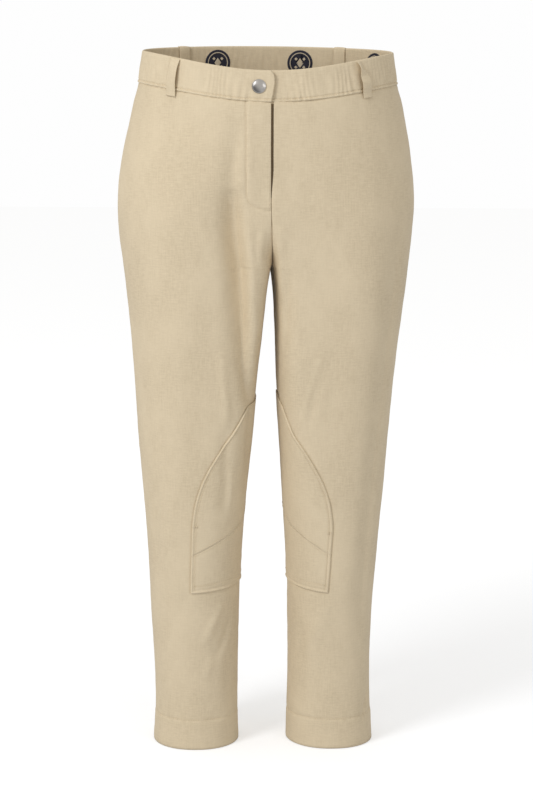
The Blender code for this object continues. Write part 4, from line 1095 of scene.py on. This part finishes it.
def sew_loop(loop):
    line = FRONT_LOOP_LINE if loop.half == FRONT else BACK_LOOP_LINE
    path = smooth_line([(p.lift, p.height) for p in line], 90) * MM
    ahead = np.gradient(path, axis=0)
    ahead /= np.linalg.norm(ahead, axis=1, keepdims=True)
    off = np.stack([ahead[:, 1], -ahead[:, 0]], axis=1)
    down = np.clip(-path[:, 1] / BAND_DEPTH, 0, 1.2)
    twist = np.radians(loop.twist) * bell(down - loop.twist_at, loop.twist_reach)
    belly = loop.belly * MM * bell(down - 0.72, 0.22)
    ends = np.minimum(np.arange(90), np.arange(90)[::-1])
    pinch = np.clip((ends + 0.4) / 2.0, 0, 1) ** 0.5
    turns = np.linspace(0, math.tau, 25)[:-1]
    flat_x = np.sign(np.cos(turns)) * np.abs(np.cos(turns)) ** 0.5
    flat_y = np.sign(np.sin(turns)) * np.abs(np.sin(turns)) ** 0.8
    rows, outs, spots = [], [], []
    for x, y in zip(flat_x, flat_y):
        across = x * loop.width / 2 * MM * (1 - 0.004 * abs(loop.twist) * bell(down - 0.2, 0.2))
        away = y * LOOP_WALL / 2 * pinch - 0.18 * MM * bell(abs(x) - 0.72, 0.12) * (y > 0)
        across, away = (across * np.cos(twist) - away * np.sin(twist),
                        across * np.sin(twist) + away * np.cos(twist))
        spot_2d = path + off * (away + belly)[:, None]
        slant = loop.slant * MM * -spot_2d[:, 1] / BAND_DEPTH
        along = loop.from_middle * MM + slant + across
        share = along / quarter_length(loop.side, loop.half, np.full(90, -BAND_DEPTH / 2))
        level = row_height(loop.half, share, spot_2d[:, 1])
        points, outward = cloth(loop.side, loop.half, along, level, spot_2d[:, 0], creased=False)
        rows.append(points)
        outs.append(outward * (1.0 if y >= 0 else -1.0))
        spots.append(np.stack([along, path[:, 1] + away], axis=-1))
    mesh = grid_mesh(loop.name + "_cloth", np.array(rows), np.array(spots), np.array(outs), ring=True)
    close_ends(mesh)
    piece = add_piece(mesh, beige_twill, [loop.name])
    return piece


loops = [sew_loop(loop) for loop in LOOPS]
print("loops:", [o.name for o in loops])

# %% [markdown]
# The snap is a pressed metal cap with a low dome and a rolled rim, on the lap's outside, and a stud
# behind it. Both are turned shapes: a half profile and a Screw modifier would do, but a bmesh spin
# gives the finished mesh at once.

# %% Press the snap
SNAP_SEGMENTS = 48


def turn_shape(name, profile):
    """A mesh turned about +Z from (radius, height) points in mm, from the axis to the axis."""
    shape = bmesh.new()
    verts = [shape.verts.new((r * MM, 0, h * MM)) for r, h in profile]
    edges = [shape.edges.new(pair) for pair in zip(verts, verts[1:])]
    bmesh.ops.spin(shape, geom=verts + edges, axis=(0, 0, 1), cent=(0, 0, 0),
                   steps=SNAP_SEGMENTS, angle=math.tau)
    bmesh.ops.remove_doubles(shape, verts=shape.verts, dist=0.00001)
    bmesh.ops.recalc_face_normals(shape, faces=shape.faces)
    mesh = bpy.data.meshes.new(name)
    shape.to_mesh(mesh)
    shape.free()
    return mesh


def stand_on_cloth(side, half, along, drop, lift):
    """The matrix that turns a thing's own +Z out of the band and sets it there."""
    share = along / float(quarter_length(side, half, -drop))
    level = float(row_height(half, share, -drop))
    spots, outward = cloth(side, half, along + np.array([0, -6, 6, 0, 0]) * MM,
                           level + np.array([0, 0, 0, -6, 6]) * MM, creased=False)
    z_axis = Vector(np.cross(spots[2] - spots[1], spots[4] - spots[3])).normalized()
    if z_axis.dot(Vector(outward[0])) < 0:
        z_axis.negate()
    x_axis = Vector((0, 0, 1)).cross(z_axis).normalized()
    turn = Matrix((x_axis, z_axis.cross(x_axis), z_axis)).transposed().to_4x4()
    return Matrix.Translation(Vector(spots[0]) + z_axis * lift) @ turn


SNAP_PLACE = (RIGHT, FRONT, 15 * MM, 19.5 * MM)
cap_profile = [(0, 2.55), (2.5, 2.5), (4.6, 2.25), (6.2, 1.85), (7.3, 1.45), (7.7, 1.25), (8.0, 1.3),
               (8.4, 1.3), (8.75, 1.05), (8.8, 0.6), (8.5, 0.0), (0, 0.0)]
stud_profile = [(0, 0), (6.0, 0), (6.0, -0.6), (5.6, -0.9), (3.6, -1.0), (3.3, -1.9), (2.9, -2.0), (0, -2.0)]
snap_pieces = []
for name, profile, lift in (("snap_cap", cap_profile, BAND_PROUD + 0.55 * MM),
                            ("snap_stud", stud_profile, BAND_PROUD - BAND_WALL - LAP_SUNK - 0.5 * MM)):
    mesh = turn_shape(name + "_metal", profile)
    piece = bpy.data.objects.new(mesh.name, mesh)
    mesh.materials.append(satin_silver)
    mesh.shade_smooth()
    mesh.set_sharp_from_angle(angle=math.radians(50))
    bpy.context.scene.collection.objects.link(piece)
    piece.matrix_world = stand_on_cloth(*SNAP_PLACE, lift)
    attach(piece, "root")
    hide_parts(name)
    snap_pieces.append(piece)
print("snap:", [p.name for p in snap_pieces])

# %% [markdown]
# Four dark discs are printed inside the band. Their print is plain geometry: one lozenge with four
# smaller ones round it and a thin ring. Disc and print are laid on the band's inner face.

# %% Print the discs
DISC_DROP = 20.5 * MM
DISC_FROM_BACK = {RIGHT: (60, 170), LEFT: (50, 160)}


def lay_inside(side, from_back, x, y, depth):
    """Spots of a disc, x and y from its middle, laid on the band's inner face."""
    along, height = from_back * MM + x, -DISC_DROP + y
    share = along / quarter_length(side, BACK, np.full_like(along, -DISC_DROP))
    level = row_height(BACK, share, height)
    pucker = band_pucker(side, BACK, along, height)
    points, outward = cloth(side, BACK, along, level, BAND_PROUD - 2.3 * MM + pucker - depth, creased=False)
    return points, -outward


def print_disc(side, number, from_back):
    turns = np.linspace(0, math.tau, 65)[:-1]
    radii = np.array([0.3, 3, 6, 9, 12, 14.5, 16.3, 16.9, 17.0])[:, None] * MM
    depths = np.array([0.45] * 7 + [0.35, -0.1])[:, None] * MM + 0 * turns
    x, y = radii * np.cos(turns), radii * np.sin(turns)
    points, outward = lay_inside(side, from_back, x, y, depths)
    points, outward = points.transpose(1, 0, 2), outward.transpose(1, 0, 2)
    spots = np.stack([x.T, y.T], axis=-1)
    mesh = grid_mesh(f"waist_disc_{SIDE_NAMES[side]}_{number}_print", points, spots, outward, ring=True)
    close_ends(mesh)
    return add_piece(mesh, navy_print, [f"waist_disc_{SIDE_NAMES[side]}_{number}"])


def print_motif(side, number, from_back):
    """Lozenges and a ring, a fifth of a millimetre above the disc."""
    shape = bmesh.new()
    lozenges = [(0.0, 0.0, 4.6, 6.4)] + [(7.6 * math.cos(a), 7.6 * math.sin(a), 2.2, 2.2)
                                         for a in np.arange(4) * math.pi / 2 + math.pi / 4]
    for cx, cy, wide, tall in lozenges:
        steps = np.linspace(-1, 1, 9)
        x = np.array([cx + wide * s * (1 - abs(t)) for t in steps for s in steps]) * MM
        y = np.array([cy + tall * t for t in steps for s in steps]) * MM
        points, _ = lay_inside(side, from_back, x, y, 0.75 * MM)
        verts = [shape.verts.new(p) for p in points]
        for i in range(8):
            for j in range(8):
                first = i * 9 + j
                shape.faces.new([verts[k] for k in (first, first + 1, first + 10, first + 9)])
    turns = np.linspace(0, math.tau, 65)
    rims = [lay_inside(side, from_back, r * MM * np.cos(turns), r * MM * np.sin(turns), 0.75 * MM)[0]
            for r in (12.6, 13.8)]
    rings = [[shape.verts.new(p) for p in rim[:-1]] for rim in rims]
    for k in range(64):
        shape.faces.new((rings[0][k], rings[0][(k + 1) % 64], rings[1][(k + 1) % 64], rings[1][k]))
    bmesh.ops.remove_doubles(shape, verts=shape.verts, dist=0.00002)
    bmesh.ops.dissolve_degenerate(shape, edges=shape.edges, dist=0.00002)
    bmesh.ops.recalc_face_normals(shape, faces=shape.faces)
    mesh = bpy.data.meshes.new(f"waist_disc_{SIDE_NAMES[side]}_{number}_motif")
    shape.to_mesh(mesh)
    shape.free()
    return add_piece(mesh, pale_print, thickness=0.15 * MM)


for side in (RIGHT, LEFT):
    for number, from_back in enumerate(DISC_FROM_BACK[side], start=1):
        print_disc(side, number, from_back)
        print_motif(side, number, from_back)
print("discs printed")

# %% [markdown]
# Stitches are small, but rows of them are what makes a seam read as sewn. One stitch is a short
# bead of thread whose ends dive into the cloth. NumPy copies it along a line of spots, so a row of
# hundreds is one mesh.

# %% Make rows of stitches
STITCH_LENGTH, STITCH_GAP = 2.5 * MM, 0.7 * MM
THREAD_RADIUS = 0.36 * MM
BEAD = ((-0.50, 0.35, -0.9), (-0.36, 0.9, 0.25), (0.0, 1.0, 0.55), (0.36, 0.9, 0.25), (0.50, 0.35, -0.9))


def stitch_row(points, outward):
    """Vertices and faces of a row of stitches along a line of points."""
    reach = np.concatenate([[0], np.cumsum(np.linalg.norm(np.diff(points, axis=0), axis=1))])
    count = max(1, int((reach[-1] + STITCH_GAP) / (STITCH_LENGTH + STITCH_GAP)))
    centres = (np.arange(count) + 0.5) * reach[-1] / count

    def at(t):
        return np.stack([np.interp(t, reach, points[:, k]) for k in range(3)], axis=-1)

    half = STITCH_LENGTH / 2
    ahead = at(centres + half * 0.8) - at(centres - half * 0.8)
    ahead /= np.maximum(np.linalg.norm(ahead, axis=1, keepdims=True), 1e-9)
    up = np.stack([np.interp(centres, reach, outward[:, k]) for k in range(3)], axis=-1)
    up -= ahead * np.sum(up * ahead, axis=1, keepdims=True)
    up /= np.maximum(np.linalg.norm(up, axis=1, keepdims=True), 1e-9)
    beside = np.cross(ahead, up)
    middle = at(centres)
    verts, faces = [], []
    sides = np.linspace(0, math.tau, 7)[:-1]
    for share, thick, rise in BEAD:
        for turn in sides:
            verts.append(middle + ahead * (share * STITCH_LENGTH)
                         + up * (THREAD_RADIUS * (rise + thick * math.sin(turn)))
                         + beside * (THREAD_RADIUS * thick * math.cos(turn)))
    verts = np.array(verts).transpose(1, 0, 2)
    for ring in range(4):
        for k in range(6):
            a, b = ring * 6 + k, ring * 6 + (k + 1) % 6
            faces.append((a, b, b + 6, a + 6))
    caps = [tuple(range(5, -1, -1)), tuple(range(24, 30))]
    all_faces = [tuple(v + 30 * i for v in face) for i in range(count) for face in faces + caps]
    return verts.reshape(-1, 3), all_faces


def sew(name, rows):
    """One piece of thread from several rows, each a (points, outward) pair."""
    verts, faces, start = [], [], 0
    for points, outward in rows:
        row_verts, row_faces = stitch_row(points, outward)
        faces += [tuple(v + start for v in face) for face in row_faces]
        verts.append(row_verts)
        start += len(row_verts)
    mesh = bpy.data.meshes.new(name)
    mesh.from_pydata(np.concatenate(verts).tolist(), [], faces)
    return add_piece(mesh, thread)


print("one stitch:", STITCH_LENGTH / MM, "mm")

# %% [markdown]
# The rows follow how such trousers are sewn: a single curved row that holds the fly's facing, one row
# round each hem, two rows inside each patch's edge and along its slanting seam, and one just above
# the waistband's seam.

# %% Sew the rows
def fly_rows():
    """The J of stitches: down beside the fly, then in a curve to its foot."""
    angle = np.linspace(0, math.pi / 2 - 0.02, 24)
    turned = FACING_TURN + (FACING_FOOT - FACING_TURN) * np.sin(angle[1:])
    height = np.concatenate([np.linspace(-63 * MM, FACING_TURN, 60), turned])
    along = facing_edge(height)
    near_fly = beside_fly(along, height)
    rows = [cloth(RIGHT, FRONT, along, height, 0.25 * MM + near_fly * 0.7 * MM)]
    bar = np.linspace(-183.5, -191, 14) * MM
    for shift in (1.6, 2.2, 2.8):
        rows.append(cloth(RIGHT, FRONT, np.full(14, shift * MM), bar, 0.15 * MM))
    return rows


def hem_rows(side):
    rows = []
    for half in (FRONT, BACK):
        length = float(quarter_length(side, half, FLOOR + HEM_DEPTH))
        along = np.linspace(2 * MM, length - 2 * MM, 120)
        rows.append(cloth(side, half, along, FLOOR + HEM_DEPTH - HEM_STITCH, 0.15 * MM))
    return rows


BAR_TACKS = {RIGHT: -606, LEFT: -616}


def patch_rows(side):
    rows = []
    name = SIDE_NAMES[side]
    down = np.linspace(PATCH_TOP - 6 * MM, PATCH_FOOT - PATCH_FOOT_FALL + 1 * MM, 150)
    for inset in (2.0, 5.4):
        edge = read_table(PATCH_EDGE, name, down) - inset * MM
        down_here, edge = down[edge > 2 * MM], edge[edge > 2 * MM]
        for way in (1, -1):
            rows.append(cloth(side, FRONT, way * edge, down_here, (1.75 if inset < 3 else 1.2) * MM))
        rise = 1.9 * MM if inset < 3 else 10.5 * MM
        wide = float(read_table(PATCH_EDGE, name, PATCH_FOOT)) - 2 * MM
        along = np.linspace(-wide, wide, 120)
        foot = patch_foot(along / wide) + rise
        rows.append(cloth(side, FRONT, along, foot, (1.75 if inset < 3 else 1.25) * MM))
    bar = float(BAR_TACKS[side]) * MM
    reach = float(read_table(PATCH_EDGE, name, bar))
    for shift in (-0.8, 0.0, 0.8):
        along = np.linspace(reach - 7.5 * MM, reach + 1 * MM, 30)
        lift = 1.9 * MM * smoothstep((reach + 0.3 * MM - along) / (1.2 * MM)) + 0.3 * MM
        rows.append(cloth(side, FRONT, along, bar + shift * MM, lift))
    for shift in (-2.4, 2.4):
        across = np.linspace(-0.95, 0.95, 140)
        height = patch_seam(across) + shift * MM
        along = across * read_table(PATCH_EDGE, name, height)
        rows.append(cloth(side, FRONT, along, height, 1.3 * MM))
    return rows


def band_rows():
    rows = []
    for side in (RIGHT, LEFT):
        for half in (FRONT, BACK):
            share = np.linspace(0.04 if half == FRONT else 0.0, 1.0, 130)
            height = -BAND_DEPTH + 2.5 * MM
            level = row_height(half, share, height)
            along = share * quarter_length(side, half, level)
            sunk = 0.0
            if (side, half) == (LEFT, FRONT):
                sunk = smoothstep(1 - (along - LAP_FULL) / LAP_BLEND) * LAP_SUNK
            lift = BAND_PROUD - 0.45 * MM - sunk + band_pucker(side, half, along, np.full_like(along, height))
            rows.append(cloth(side, half, along, level, lift, creased=False))
    return rows


sew("fly_stitches", fly_rows())
sew("waistband_stitches", band_rows())
for side in (RIGHT, LEFT):
    sew(f"hem_stitches_{SIDE_NAMES[side]}", hem_rows(side))
    sew(f"knee_patch_stitches_{SIDE_NAMES[side]}", patch_rows(side))

# %% [markdown]
# The studio is plain: a white world all round, a pale floor that glows a little more in the
# distance, one large soft light from the upper left, so that surfaces turned to the right fall into
# gentle shade, and a small weak one on the right for the snap.

# %% Light the studio
AMBIENT = (0.655, 0.640, 0.606)
FLOOR_GLOW, NEAR_GLOW = 0.485, 0.41
GLOW_FROM, GLOW_TO = 0.93, 1.7
FLOOR_REACH, FLOOR_DROP = 8.0, 0.6 * MM
LIGHTS_AIM = (0.0, 0.0, -0.42)
KEY_POWER, GLINT_POWER = 58.0, 5.0


def make_studio():
    world = bpy.data.worlds.new("studio")
    tree = Tree(world, "Background")
    seen = tree.add("ShaderNodeLightPath")
    tree.feed(tree.shader.inputs["Color"], tree.mix(seen, (*AMBIENT, 1.0), (0.99, 0.99, 0.99, 1.0)))
    bpy.context.scene.world = world
    mesh = bpy.data.meshes.new("studio_floor")
    reach, level = FLOOR_REACH, FLOOR - FLOOR_DROP
    mesh.from_pydata([(-reach, -reach, level), (reach, -reach, level), (reach, reach, level),
                      (-reach, reach, level)], [], [(0, 1, 2, 3)])
    floor = bpy.data.objects.new("studio_floor", mesh)
    bpy.context.scene.collection.objects.link(floor)
    material = bpy.data.materials.new("pale_floor")
    tree = Tree(material)
    tree.shader.inputs["Base Color"].default_value = (0.735, 0.75, 0.785, 1.0)
    tree.shader.inputs["Roughness"].default_value = 1.0
    tree.shader.inputs["Specular IOR Level"].default_value = 0.0
    seen = tree.add("ShaderNodeLightPath")
    place = tree.add("ShaderNodeNewGeometry")
    away = tree.add("ShaderNodeVectorMath", {"operation": "LENGTH"}, out=1, at_0=place)
    glow = tree.mix(away.clamp(GLOW_FROM, GLOW_TO), (*[NEAR_GLOW] * 3, 1.0), (*[FLOOR_GLOW] * 3, 1.0))
    tree.feed(tree.shader.inputs["Emission Color"], tree.mix(seen, (0.0, 0.0, 0.0, 1.0), glow))
    tree.shader.inputs["Emission Strength"].default_value = 1.0
    mesh.materials.append(material)


def soft_light(name, place, aim, size, power):
    data = bpy.data.lights.new(name, "AREA")
    data.shape = "DISK"
    data.size = size
    data.energy = power
    lamp = bpy.data.objects.new(name, data)
    lamp.location = place
    lamp.rotation_euler = (Vector(aim) - Vector(place)).to_track_quat("-Z", "Y").to_euler()
    bpy.context.scene.collection.objects.link(lamp)


make_studio()
soft_light("key_light", (-2.3, -2.3, 1.7), LIGHTS_AIM, 1.3, KEY_POWER)
soft_light("right_glint", (1.6, -2.4, 0.7), LIGHTS_AIM, 0.35, GLINT_POWER)
scene = bpy.context.scene
scene.view_settings.view_transform = "Standard"
scene.view_settings.look = "None"
